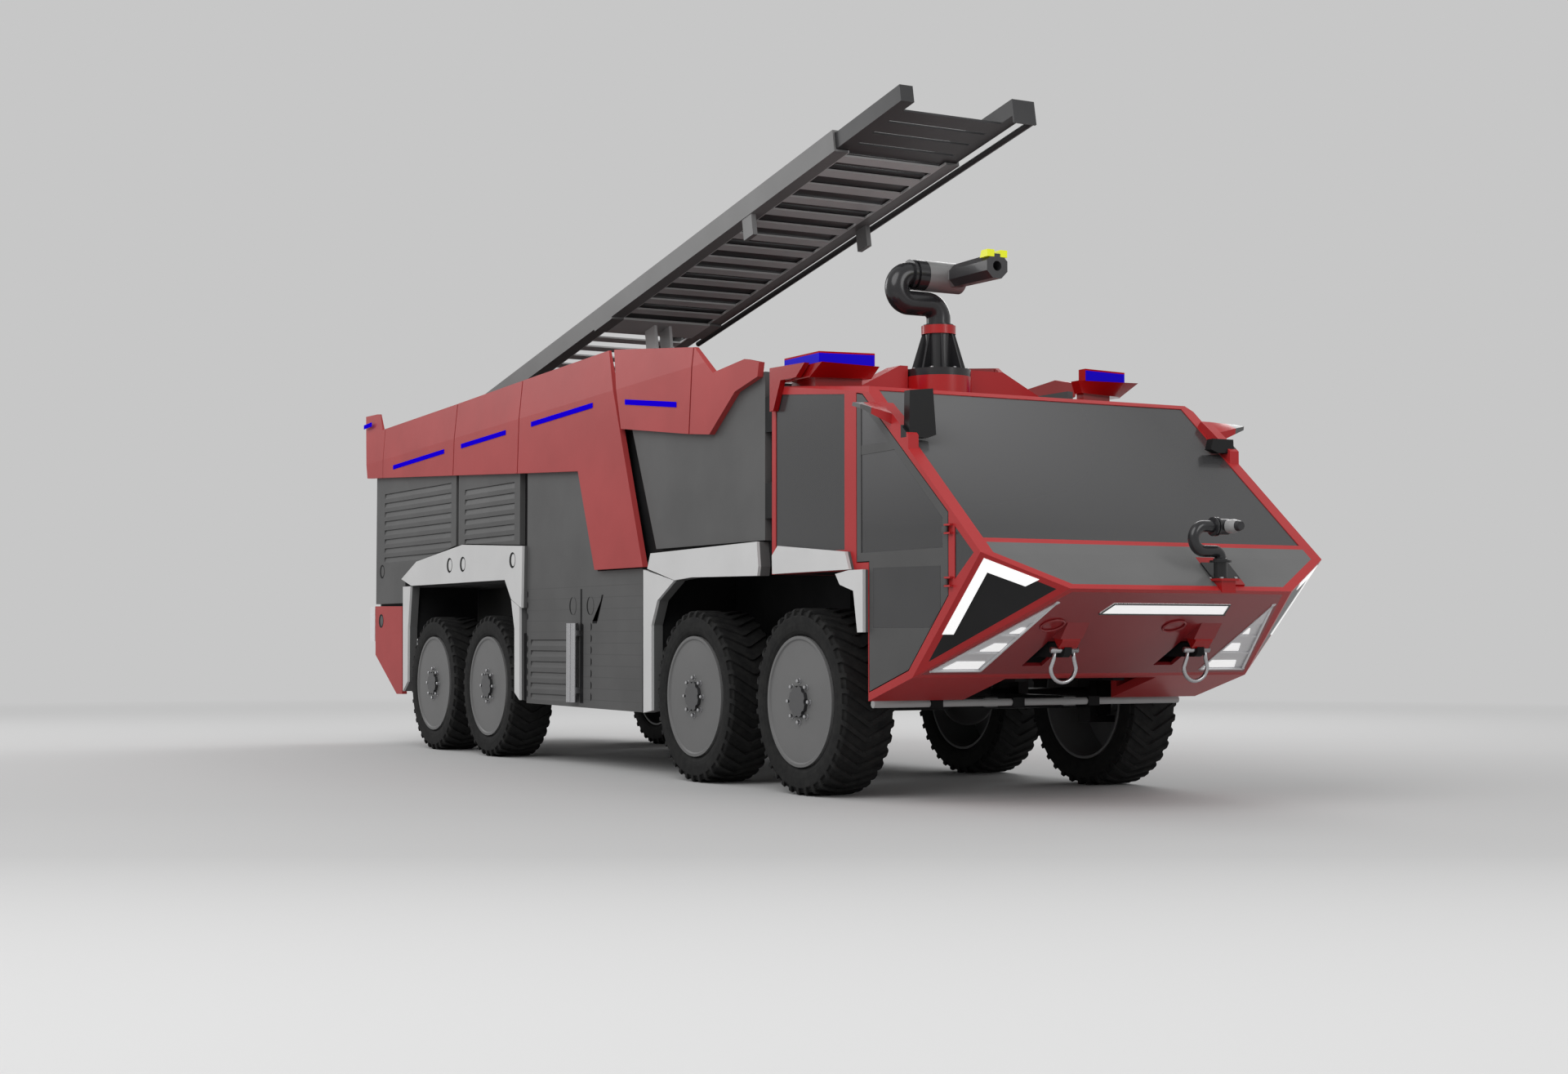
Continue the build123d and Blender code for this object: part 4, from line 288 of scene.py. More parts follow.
# The red plate under the nose monitor goes on up the hood
hood_x, hood_y, _ = hood_grey.place()
hood_grey.tint(between(hood_y, *NOSE_PLATE_SPAN) * (hood_x > NOSE_PLATE_BACK), SIGNAL_RED)
corner_black = paint("corner_black", screen_colour(34, 34, 35), 0.3, dust=0.04)
white_trim = paint("white_trim", screen_colour(204, 204, 204), 0.45, dust=0.03)
black_frame = paint("black_frame", BLACK, 0.6, dust=0.10, shine=0.1)
gloss_black = paint("gloss_black", screen_colour(36, 36, 38), 0.22, coat=0.2, dust=0.03, shine=0.4)
ladder_light = paint("ladder_light", screen_colour(112, 112, 112), 0.45, dust=0.05)
ladder_dark = paint("ladder_dark", screen_colour(60, 60, 61), 0.4, dust=0.05)
# The slats between the ladder's rails are painted paler than the rails: painted light from below,
# standing for the floor's bounce
bounce_lit_slats = ladder_light.place()[1].absolute() < RAIL_INNER_Y
ladder_light.tint(bounce_lit_slats, screen_colour(188, 188, 188))

# The cross tube ahead of the first axle is pale
axle_black = paint("axle_black", BLACK, 0.5, dust=0.10)
axle_x, _, axle_z = axle_black.place()
tube_height = (axle_z - HUB_HEIGHT).absolute() < CROSS_TUBE_RADIUS
axle_black.tint((axle_x > CROSS_TUBE_BACK) * tube_height, screen_colour(170, 170, 170))

# Thin darker lines run along the grey panels between the arches: painted shadow lines under the
# louvre blades
panel_x, _, panel_z = grey_panel.place()
louvre_phase = (panel_z * LOUVRE_SHADOWS_PER_METRE).fraction()
louvre_shadow_lines = (louvre_phase < LOUVRE_SHADOW_SHARE) * between(panel_x, *LOUVRE_SHADOW_SPAN) * (panel_z < LOUVRE_SHADOW_TOP)
grey_panel.tint(louvre_shadow_lines, screen_colour(78, 78, 78))

# The soffit of the white bands, which lies behind their face, is painted dark: painted shade under
# the bands
trim_y = white_trim.place()[1].absolute()
white_trim.tint(trim_y < TRIM_BACK, screen_colour(92, 92, 92))

# The monitor's post is black between a red ring at the roof and a red collar under the pipe
post_black = screen_colour(34, 34, 36)
monitor_post = paint("monitor_post", post_black, 0.24, coat=0.2, dust=0.03, shine=0.4)
post_height = monitor_post.place()[2]
red_rings = (post_height < POST_RED_BELOW).most(post_height > POST_RED_ABOVE)
monitor_post.tint(red_rings, screen_colour(165, 20, 22))

# The monitor's drum is pale, its nozzle housing dark, and the tops of its lamps are yellow
nozzle_grey = paint("nozzle_grey", screen_colour(120, 120, 120), 0.35, coat=0.2, shine=0.4)
nozzle_x, _, nozzle_z = nozzle_grey.place()
housing = (nozzle_x > HOUSING_BACK) * (nozzle_z < HOUSING_TOP)
nozzle_grey.tint(housing, screen_colour(50, 50, 52))
nozzle_grey.tint((nozzle_z > HOUSING_TOP) * (nozzle_x > NOZZLE_LAMPS_BACK), LAMP_YELLOW)

# The nose monitor's nozzle is pale with a black drum and tip
nose_nozzle = paint("nose_nozzle", screen_colour(150, 150, 150), 0.3, coat=0.1, shine=0.4)
tip_x = nose_nozzle.place()[0]
nose_ends = (tip_x > NOSE_TIP_BACK).most(tip_x < NOSE_DRUM_FRONT)
nose_nozzle.tint(nose_ends, screen_colour(42, 42, 44))

# The roof arms are red with grey ends, and carry black mirror heads
pod_red = paint("pod_red", FRAME_RED, 0.3, coat=0.1, dust=0.03)
pod_x, pod_y, pod_z = pod_red.place()
pod_red.tint(between(pod_x, *MIRROR_SPAN) * (pod_z > MIRROR_LOW), BLACK)
pod_red.tint(pod_y.absolute() > ARM_END_Y, screen_colour(96, 96, 96))
print("paints:", len(bpy.data.materials))

# %% [markdown]
# ## Glass, rubber, metal and lamps
#
# The cab glass is so dark that it works as a grey mirror: little is seen behind it. It stays a
# dark gloss with some transparency.

# %% Glass, rubber, bright metal and lenses
dark_glass = Finish("dark_glass", screen_colour(60, 60, 61), coat_weight=0.15,
                    coat_roughness=0.05, specular_ior_level=0.35, alpha=0.94)
haze = dark_glass.noise(0.8, 3.0)
dark_glass.set("Roughness", 0.14 + haze * 0.08)
glass_x, glass_y, glass_z = dark_glass.place()
# The windscreen pales towards its upper right corner, as it does under a soft lamp
WINDSCREEN_BACK, PALE_SHARE, PALE_UP, PALE_ACROSS = 4.5, 0.8, (1.9, 2.9), (1.0, -1.2)
upper_right = glass_z.ramp(*PALE_UP) * glass_y.ramp(*PALE_ACROSS)
pale_corner = upper_right * (glass_x > WINDSCREEN_BACK) * PALE_SHARE
dark_glass.tint(pale_corner, screen_colour(104, 104, 105))

pane_dark = paint("pane_dark", screen_colour(56, 56, 57), 0.16, dust=0.03, shine=0.4)

CLEAN_RUBBER, DUSTY_RUBBER = screen_colour(24, 24, 25), screen_colour(40, 40, 39)
rubber = Finish("tyre_rubber", CLEAN_RUBBER, 0.75, specular_ior_level=0.15)
grime = rubber.noise(14.0, 6.0, 0.6)
rubber.set("Base Color", rubber.mix(grime.ramp(0.3, 0.75), CLEAN_RUBBER, DUSTY_RUBBER))
rubber.bump(rubber.noise(120.0, 4.0), 0.25, 0.001)

# The hub caps are dark, with a paler lobe on top
rim_paint = paint("rim_paint", screen_colour(106, 106, 106), 0.4, dust=0.04)
rim_x, rim_y, rim_z = rim_paint.place()
along_hub = least_of([(rim_x - hub).absolute() for hub in HUBS])
on_cap = along_hub.most((rim_z - HUB_HEIGHT).absolute()) < CAP_RADIUS
rim_paint.tint(on_cap * (rim_y.absolute() > CAP_FOOT), screen_colour(50, 50, 51))
rim_paint.tint(on_cap * (rim_y.absolute() > CAP_TOP), screen_colour(84, 84, 85))

steel = Finish("bright_steel", screen_colour(190, 190, 192), metallic=1.0)
brushed = steel.noise(90.0, 3.0)
steel.set("Roughness", 0.22 + brushed * 0.14)

blue_lens = Finish("blue_lens", screen_colour(12, 0, 150), 0.3, emission_strength=0.5,
                   specular_ior_level=0.0)
blue_lens.set("Emission Color", (*screen_colour(25, 0, 215), 1.0))
blue_lens.facets(0, 60.0, 0.12)

beacon_lens = Finish("beacon_lens", screen_colour(26, 2, 205), 0.3, specular_ior_level=0.03)
_, beacon_y, beacon_z = beacon_lens.place()
red_end = (beacon_z > BEACON_RED_ABOVE).most(beacon_y.absolute() < BEACON_RED_INSIDE)
beacon_lens.tint(red_end, screen_colour(165, 14, 16))
beacon_lens.facets(0, 40.0, 0.1)

white_lamp = Finish("white_lamp", screen_colour(235, 235, 235), 0.25, emission_strength=0.55)
white_lamp.set("Emission Color", (0.9, 0.9, 0.9, 1.0))
white_lamp.facets(1, 45.0, 0.08)

# The lamp plates: the middle bar is white, the outer ones are silver reflectors
lamp_plate = Finish("lamp_plate", screen_colour(226, 226, 228), metallic=0.15)
plate_y = lamp_plate.place()[1].absolute()
lamp_plate.tint(plate_y < LIT_BAR_Y, screen_colour(245, 245, 245))
lamp_plate.set("Roughness", lamp_plate.noise(30.0) * 0.1 + 0.2)

yellow_lamp = Finish("yellow_lamp", LAMP_YELLOW, 0.3, emission_strength=0.08)
yellow_lamp.set("Emission Color", (*screen_colour(230, 235, 0), 1.0))
yellow_lamp.bump(yellow_lamp.noise(80.0), 0.05, 0.001)

red_lens = Finish("red_lens", screen_colour(120, 12, 12), 0.2, coat_weight=0.5)
red_lens.facets(2, 50.0, 0.15)

cast_metal = Finish("cast_metal", screen_colour(58, 58, 58), 0.7)
cast_metal.bump(cast_metal.noise(60.0, 6.0, 0.6), 0.5, 0.002)
print("finishes:", len(bpy.data.materials))

# %% [markdown]
# ## Each CAD node gets its finish
#
# A node's material slot is replaced and its mesh stays as CAD made it. The table goes from the
# finish to the start of the names of the nodes that wear it.

# %% Paint the CAD nodes
NODE_FINISH = (
    (rubber, ("tyre_",)),
    (rim_paint, ("rim_",)),
    (black_frame, ("knuckle_", "chassis_frame", "frame_members",
                   "tow_jaw", "body_", "cab_tub", "lift_barrel")),
    (dark_glass, ("windscreen", "side_panes", "door_glass")),
    (corner_black, ("corner_panels",)),
    (red_paint, ("upper_panels",)),
    (frame_red, ("cab_frame", "cab_roof")),
    (door_grey, ("door_left", "door_right")),
    (pod_red, ("camera_pods",)),
    (deep_red_paint, ("bumper",)),
    (signal_red, ("nose_monitor_base", "beacon_trays")),
    (hood_grey, ("hood_panel",)),
    (grey_panel, ("locker_panels",)),
    (axle_black, ("axles",)),
    (white_trim, ("arch_trims",)),
    (beacon_lens, ("beacons",)),
    (lamp_plate, ("front_lamps",)),
    (red_lens, ("tail_lamps",)),
    (ladder_light, ("ladder_base",)),
    (ladder_dark, ("ladder_fly", "ladder_bracket")),
    (steel, ("lift_rod", "tow_shackles", "flank_pipes")),
    (gloss_black, ("roof_monitor_riser", "nose_monitor_riser")),
    (nose_nozzle, ("nose_monitor_barrel",)),
    (monitor_post, ("roof_monitor_base",)),
    (nozzle_grey, ("roof_monitor_barrel",)),
    (cast_metal, ("engine_block",)),
)


def finish_of(node_name):
    """The finish whose listed start fits the node's name best."""
    fits = [(len(start), finish) for finish, starts in NODE_FINISH for start in starts
            if node_name.startswith(start)]
    return max(fits, key=lambda fit: fit[0])[1]


def wear(piece, finish):
    piece.data.materials.clear()
    piece.data.materials.append(finish.material)


for name, node in nodes.items():
    wear(node, finish_of(name))
print("painted nodes:", len(nodes))

# %% [markdown]
# ## Surfaces from arrays
#
# Every new piece is a formula on a grid. One helper turns a points array and a few arrays of corner
# indices into a mesh, another strings quads over a grid, a third carries a ring along a path and a
# fourth stamps one small template many times. None of them loops over vertices.


# %% Helpers for meshes
def piece_from(name, points, faces, body, finish, smooth=False):
    """An object at the origin from an (n, 3) array and a list of (m, corners) index arrays."""
    loops = np.concatenate([group.ravel() for group in faces])
    sizes = np.concatenate([np.full(len(group), group.shape[1]) for group in faces])
    mesh = bpy.data.meshes.new(name)
    mesh.vertices.add(len(points))
    mesh.vertices.foreach_set("co", np.asarray(points, float).ravel())
    mesh.loops.add(len(loops))
    mesh.loops.foreach_set("vertex_index", loops.astype(np.int32))
    mesh.polygons.add(len(sizes))
    mesh.polygons.foreach_set("loop_start", (np.cumsum(sizes) - sizes).astype(np.int32))
    mesh.polygons.foreach_set("use_smooth", np.full(len(sizes), smooth))
    mesh.update(calc_edges=True)
    mesh.validate()
    piece = bpy.data.objects.new(name, mesh)
    bpy.context.scene.collection.objects.link(piece)
    wear(piece, finish)
    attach(piece, body)
    return piece


def grid_quads(rows, columns, wrap_rows=False, wrap_columns=False):
    """Corner indices of the quads on a grid of rows x columns points, numbered row by row."""
    row = np.arange(rows if wrap_rows else rows - 1)[:, None]
    column = np.arange(columns if wrap_columns else columns - 1)[None, :]
    next_row, next_column = (row + 1) % rows, (column + 1) % columns
    corners = [row * columns + column, row * columns + next_column,
               next_row * columns + next_column, next_row * columns + column]
    return np.stack(np.broadcast_arrays(*corners), axis=-1).reshape(-1, 4)


def slab(corners, depth):
    """A flat ring of corners (n, 3), pushed by the vector depth into a closed slab."""
    corners, depth = np.asarray(corners, float), np.asarray(depth, float)
    count = len(corners)
    index = np.arange(count)
    points = np.vstack([corners, corners + depth])
    following = (index + 1) % count
    sides = np.stack([index, following, following + count, index + count], axis=1)
    caps = [index[None, ::-1], index[None, :] + count]
    if np.cross(corners, np.roll(corners, -1, axis=0)).sum(axis=0) @ depth < 0:
        sides, caps = sides[:, ::-1], [cap[:, ::-1] for cap in caps]
    return points, [sides, *caps]


def prism(outline, base, across, along, depth):
    """A slab whose outline (n, 2) is laid on two unit vectors from base."""
    outline = np.asarray(outline, float)
    return slab(np.asarray(base, float) + outline[:, :1] * np.asarray(across, float)
                + outline[:, 1:] * np.asarray(along, float), depth)


def ellipse(centre, half_width, half_height, steps=24):
    """Points round an ellipse: centre + (half width cos a, half height sin a)."""
    angle = np.linspace(0, 2 * np.pi, steps, endpoint=False)
    return np.stack([centre[0] + half_width * np.cos(angle),
                     centre[1] + half_height * np.sin(angle)], axis=1)


def joined(parts):
    """One points array and one list of faces from several (points, faces) pairs."""
    shift = np.cumsum([0] + [len(points) for points, _ in parts[:-1]])
    faces = [group + start for (_, groups), start in zip(parts, shift) for group in groups]
    return np.vstack([points for points, _ in parts]), faces


def tube(path, radius, sides=16, lean=(0.0, 0.0, 1.0)):
    """A ring of points carried along a path: centre + radius (side cos a + other sin a)."""
    path = np.asarray(path, float)
    tangent = np.gradient(path, axis=0)
    tangent /= np.linalg.norm(tangent, axis=1, keepdims=True)
    side = np.cross(tangent, np.asarray(lean, float))
    side /= np.linalg.norm(side, axis=1, keepdims=True)
    other = np.cross(side, tangent)
    angle = np.linspace(0, 2 * np.pi, sides, endpoint=False)
    radii = np.broadcast_to(radius, (len(path),))[:, None, None]
    rings = path[:, None] + radii * (side[:, None] * np.cos(angle)[None, :, None]
                                     + other[:, None] * np.sin(angle)[None, :, None])
    points = rings.reshape(-1, 3)
    ring = np.arange(sides)[None]
    ends = [ring, ring[:, ::-1] + (len(path) - 1) * sides]
    quads = grid_quads(len(path), sides, wrap_columns=True)[:, ::-1]
    return points, [quads, *ends]


def stamped(template, places):
    """The template (points, faces) copied to every place in an (n, 3) array."""
    points, faces = template
    copies = places[:, None] + points[None]
    shift = (np.arange(len(places)) * len(points))[:, None, None]
    groups = [(group[None] + shift).reshape(-1, group.shape[1]) for group in faces]
    return copies.reshape(-1, 3), groups


def turned(profile, sides, axis="z"):
    """A profile of (radius, height) turned about an axis, with both ends closed."""
    profile = np.asarray(profile, float)
    angle = np.linspace(0, 2 * np.pi, sides, endpoint=False)
    radius, height = profile[:, :1], profile[:, 1:]
    ring = np.stack([radius * np.cos(angle), radius * np.sin(angle),
                     np.broadcast_to(height, (len(profile), sides))], axis=-1)
    points = ring.reshape(-1, 3)
    faces = [grid_quads(len(profile), sides, wrap_columns=True),
             np.arange(sides)[None, ::-1], np.arange(sides)[None, :] + (len(profile) - 1) * sides]
    order = {"z": (0, 1, 2), "y": (1, 2, 0), "x": (2, 0, 1)}[axis]
    return points[:, order], faces


def on_flank(outline, out, depth, side):
    """A slab on a flank: corners by station ahead of the rear axle and height, pushed outwards."""
    base = (REAR_AXLE_X, side * out, 0.0)
    return prism(outline, base, (1, 0, 0), (0, 0, 1), (0, side * depth, 0))


print("helpers ready")

# %% [markdown]
# ## Tyres
#
# A crash tender's tyre has a smooth wall, deep blocks at the shoulder and chevrons across the
# tread. The tread is one grid: rows run across the section and columns round the wheel. Each
# column is sheared along the chevron, so the groove edges fall on grid lines and stay crisp.

# %% Tyres with tread
LUGS, GROOVE_DEPTH, CHEVRON = 36, 0.020, 1.15
HALF_WIDTH, SHOULDER, SHOULDER_PINCH = 0.2155, 0.195, 0.8
GROOVE_FROM, GROOVE_FULL = 0.60, 0.69
LUG_STEPS = np.array([0.0, 0.03, 0.18, 0.33, 0.36, 0.58, 0.80])
LUG_RISE = np.array([0.0, 1.0, 1.0, 1.0, 0.0, 0.0, 0.0])
TYRE_SECTION = np.array([
    # radius, offset outwards from the middle, how far a groove cuts in there
    (0.484, 0.176, 0), (0.489, 0.190, 0), (0.500, 0.199, 0), (0.525, 0.2095, 0),
    (0.560, 0.2145, 0), (0.600, 0.2155, 0), (0.628, 0.2150, 0), (0.636, 0.2145, 0.1),
    (0.648, 0.2140, 0.9), (0.672, 0.2090, 1), (0.684, 0.2020, 1), (0.690, 0.1900, 1),
    (0.690, 0.150, 1), (0.690, 0.110, 1), (0.690, 0.075, 1), (0.690, 0.040, 1),
    (0.690, 0.012, 1), (0.690, -0.012, 1), (0.690, -0.040, 1), (0.690, -0.075, 1),
    (0.690, -0.110, 1), (0.690, -0.150, 1), (0.690, -0.190, 1), (0.684, -0.202, 1),
    (0.672, -0.209, 1), (0.648, -0.214, 0.9), (0.636, -0.2145, 0.1), (0.600, -0.2155, 0),
    (0.560, -0.2145, 0), (0.525, -0.2095, 0), (0.500, -0.199, 0), (0.484, -0.173, 0)])


def tyre_grid():
    """Angle = (lug + step + chevron (1 - |w| / half)) pitch; radius = r(w) - depth groove cut."""
    radius, offset, cut = TYRE_SECTION.T
    steps = (np.arange(LUGS)[:, None] + LUG_STEPS[None, :]).ravel()
    groove = np.tile(1.0 - LUG_RISE, LUGS)
    shear = CHEVRON * (HALF_WIDTH - np.abs(offset)) / HALF_WIDTH
    angle = (steps[None, :] + shear[:, None]) * (2 * np.pi / LUGS)
    deep = groove[None, :] * cut[:, None] * GROOVE_DEPTH
    wall = np.clip((radius - GROOVE_FROM) / (GROOVE_FULL - GROOVE_FROM), 0, 1)[:, None]
    shown = radius[:, None] - deep * wall
    at_shoulder = np.abs(offset)[:, None] > SHOULDER
    pinch = np.sign(offset)[:, None] * deep * at_shoulder * SHOULDER_PINCH
    across = offset[:, None] - pinch
    return np.stack([shown * np.sin(angle), np.broadcast_to(across, shown.shape),
                     shown * np.cos(angle)], axis=-1)


tyre_shape = tyre_grid()
tyre_rows, tyre_columns = tyre_shape.shape[:2]
tyre_faces = grid_quads(tyre_rows, tyre_columns, wrap_columns=True)
for number, hub in enumerate(HUBS, start=1):
    for side, side_name in SIDES:
        points = tyre_shape.reshape(-1, 3) * (1, side, 1) + (hub, side * WHEEL_Y, HUB_HEIGHT)
        faces = tyre_faces[:, ::-1] if side > 0 else tyre_faces
        cover = piece_from(f"tread_{number}_{side_name}", points, [faces],
                           f"wheel_{number}_{side_name}", rubber)
        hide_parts(f"tyre_{number}_{side_name}")
print("tyre quads:", len(tyre_faces))

# %% [markdown]
# ## Wheel nuts
#
# Eight bright nuts sit round the cap of each hub. One nut is turned once and stamped eight times.
# On the right it is mirrored, and its faces run the other way round.

# %% Nuts round the caps
NUTS, NUT_CIRCLE = 8, 0.152
NUT_PROFILE = ((0.021, -0.002), (0.021, 0.004), (0.015, 0.005), (0.015, 0.026), (0.010, 0.031))
RIM_FACE = WHEEL_Y + 0.202
nut_angle = np.arange(NUTS) * 2 * np.pi / NUTS
nut_points, nut_faces = turned(NUT_PROFILE, 6, "y")
for number, hub in enumerate(HUBS, start=1):
    for side, side_name in SIDES:
        nut = (nut_points * (1, side, 1),
               [group if side > 0 else group[:, ::-1] for group in nut_faces])
        spots = np.stack([hub + NUT_CIRCLE * np.sin(nut_angle), np.full(NUTS, side * RIM_FACE),
                          HUB_HEIGHT + NUT_CIRCLE * np.cos(nut_angle)], axis=1)
        points, faces = stamped(nut, spots)
        nuts = piece_from(f"nuts_{number}_{side_name}", points, faces,
                          f"wheel_{number}_{side_name}", steel)

# %% [markdown]
# ## Blue light strips
#
# Thin blue strips run along the red band, one on each panel and a short one on the rear fin. They
# are lenses that stand a few millimetres proud of the paint. Their backs are sunk a little behind
# it, so that no two faces lie in one plane.

# %% Blue strips on the red band
STRIPS = (
    # start, its height, end, its height
    (-1.288, 3.034, 0.308, 3.093), (0.810, 3.109, 2.018, 3.151),
    (2.668, 3.175, 4.089, 3.225), (4.779, 3.190, 5.780, 3.075), (-2.310, 3.560, -2.045, 3.572))
STRIP_DOWN, STRIP_UP, STRIP_DEPTH = 0.022, 0.023, 0.008
SUNK = 0.002
for side, side_name in SIDES:
    parts = []
    for start, low, end, high in STRIPS:
        strip = [(start, low - STRIP_DOWN), (end, high - STRIP_DOWN),
                 (end, high + STRIP_UP), (start, low + STRIP_UP)]
        parts.append(on_flank(strip, TRIM - SUNK, STRIP_DEPTH, side))
    points, faces = joined(parts)
    strips = piece_from(f"blue_strips_{side_name}", points, faces, "chassis", blue_lens)

# %% [markdown]
# ## Lamps of the nose
#
# The nose is made of flat facets, and each lamp is laid on its facet: a point of the bumper is
# given by y and by the distance s up the slope from the chin, so place = chin + y across + s up.
# The white V on each corner panel stands a few millimetres proud, and the lit cells lie in the
# pockets of the headlamps. Distances out of a facet are negative towards the inside.

# %% V strips and headlamp cells
CHIN = np.array([9.335 + REAR_AXLE_X, 0.0, 0.887])
BUMPER_UP = np.array([0.8804, 0.0, 0.4742])
BUMPER_OUT = np.array([0.4742, 0.0, -0.8804])
CORNER_OUT = np.array([0.582, 0.5637, -0.5862])
V_STRIP = np.array([(9.664, 1.425, 1.184), (10.160, 1.422, 1.678), (10.329, 1.106, 1.538),
                    (10.241, 1.153, 1.496), (10.122, 1.370, 1.587), (9.718, 1.368, 1.184)])
HEADLAMP_CELLS = (
    # corners of each cell, by distance from the middle and distance up the slope
    ((0.985, 0.115), (1.270, 0.115), (1.215, 0.215), (0.985, 0.215)),
    ((0.962, 0.370), (1.120, 0.370), (1.062, 0.475), (0.960, 0.475)),
    ((0.950, 0.622), (1.030, 0.622), (0.985, 0.700), (0.946, 0.700)))


def on_bumper(outline, out, depth):
    """A slab on the bumper facet, from corners given by y and distance up the slope."""
    return prism(outline, CHIN + out * BUMPER_OUT, (0, 1, 0), BUMPER_UP, depth * BUMPER_OUT)


def framed(corners, width, out, depth):
    """Strips of a width along the sides of an outline on the bumper, inside it."""
    corners = np.asarray(corners, float)
    middle = corners.mean(axis=0)
    strips = []
    for start, end in zip(corners, np.roll(corners, -1, axis=0)):
        along = (end - start) / np.linalg.norm(end - start)
        inwards = np.array([-along[1], along[0]])
        inwards *= np.sign(inwards @ (middle - start)) * width
        strips.append(on_bumper([start, end, end + inwards, start + inwards], out, depth))
    return strips


LIGHT_BAR = ((-0.490, 0.914), (0.585, 0.914), (0.535, 1.062), (-0.455, 1.062))
BAR_OUT, BAR_THICKNESS, BAR_EDGE, BAR_EDGE_THICKNESS = -0.003, 0.009, 0.012, 0.012
light_bar = on_bumper(LIGHT_BAR, BAR_OUT, BAR_THICKNESS)
bar = piece_from("light_bar", *light_bar, "chassis", white_lamp)
bar_edges = framed(LIGHT_BAR, BAR_EDGE, -SUNK, BAR_EDGE_THICKNESS)
bar_frame = piece_from("light_bar_frame", *joined(bar_edges), "chassis", grey_panel)

# Each shackle is a bow on a pin: down one leg, half round, and up the other leg
TOW_EYE = np.array([5.761, 0.570, 1.077])
HANG = np.array([0.10, 0.0, 1.0])
LEG_TOP, LEG_MIDDLE, BOW_WIDTH = 0.074, 0.084, 0.104
BOW_DROP, LEG = 0.100, 0.120
BOW_RADIUS, PIN_RADIUS, PIN_REACH = 0.0140, 0.0205, 0.110
turn = np.linspace(0, np.pi, 17)
across = np.concatenate([[-LEG_TOP, -LEG_MIDDLE], -BOW_WIDTH * np.cos(turn),
                         [LEG_MIDDLE, LEG_TOP]])
down = np.concatenate([[0.0, -LEG / 2], -LEG - BOW_DROP * np.sin(turn), [-LEG / 2, 0.0]])
bows = []
for side, _ in SIDES:
    eye = TOW_EYE * (1, side, 1)
    path = eye + across[:, None] * (0, 1, 0) + down[:, None] * HANG
    bows.append(tube(path, BOW_RADIUS, 12, (1.0, 0.0, 0.0)))
    pin = eye + np.linspace(-PIN_REACH, PIN_REACH, 2)[:, None] * (0, 1, 0)
    bows.append(tube(pin, PIN_RADIUS, 12, (1.0, 0.0, 0.0)))
shackles = piece_from("shackle_bows", *joined(bows), "chassis", steel, smooth=True)
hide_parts("tow_shackles")

# A red hood covers each tow eye: corners by rise along the bumper and distance out of it
TOW_HOOD = ((0.575, 0.0), (0.700, 0.0), (0.655, 0.070), (0.590, 0.092))
HOOD_WIDTH = 0.150
hoods = [prism(TOW_HOOD, CHIN + (0.0, side * TOW_EYE[1] - HOOD_WIDTH / 2, 0.0),
               BUMPER_UP, BUMPER_OUT, (0, HOOD_WIDTH, 0)) for side, _ in SIDES]
tow_hoods = piece_from("tow_hoods", *joined(hoods), "chassis", signal_red)

# Each headlamp has a pale frame, three lit cells and a V strip beside it on the corner panel
HEADLAMP = np.array([(1.370, 0.090), (0.950, 0.090), (0.916, 1.073)])
LAMP_EDGE, LAMP_EDGE_THICKNESS, CELL_OUT, CELL_THICKNESS = 0.016, 0.008, -0.0105, 0.006
V_OUT, V_THICKNESS = -0.003, 0.008
LOOP_CENTRES = {"right": (-0.770, 0.760), "left": (0.262, 0.752)}
LOOP_HALF_WIDTH, LOOP_HALF_HEIGHT, LOOP_RADIUS, LOOP_OUT = 0.085, 0.075, 0.008, 0.006
for side, side_name in SIDES:
    frame_edges = framed(HEADLAMP * (side, 1), LAMP_EDGE, -SUNK, LAMP_EDGE_THICKNESS)
    edge = piece_from(f"headlamp_frame_{side_name}", *joined(frame_edges), "chassis", lamp_plate)
    out = CORNER_OUT * (1, side, 1)
    corners = V_STRIP * (1, side, 1) + (REAR_AXLE_X, 0, 0) + V_OUT * out
    strip = slab(corners, V_THICKNESS * out)
    v_strip = piece_from(f"v_strip_{side_name}", *strip, "chassis", white_lamp)
    cells = [on_bumper(np.array(cell) * (side, 1), CELL_OUT, CELL_THICKNESS)
             for cell in HEADLAMP_CELLS]
    lit = piece_from(f"headlamp_cells_{side_name}", *joined(cells), "chassis", white_lamp)
    # A soft loop lies on the bumper beside each tow hood
    turn = np.linspace(0, 2 * np.pi, 33)
    middle, rise = LOOP_CENTRES[side_name]
    aside = (middle + LOOP_HALF_WIDTH * np.cos(turn))[:, None] * (0, 1, 0)
    up = (rise + LOOP_HALF_HEIGHT * np.sin(turn))[:, None] * BUMPER_UP
    loop = CHIN + LOOP_OUT * BUMPER_OUT + aside + up
    sling = piece_from(f"tow_loop_{side_name}", *tube(loop, LOOP_RADIUS, 8, BUMPER_OUT), "chassis",
                       deep_red_paint, smooth=True)
print("nose lamps on", len(SIDES), "sides")

# %% [markdown]
# ## Latches, slots and seams on the flanks
#
# A latch is a dark dish with a paler grip that lies to one side of it, which leaves the dark
# crescent that the photograph shows. Dishes, grips, slots and the toothed strip are thin slabs.

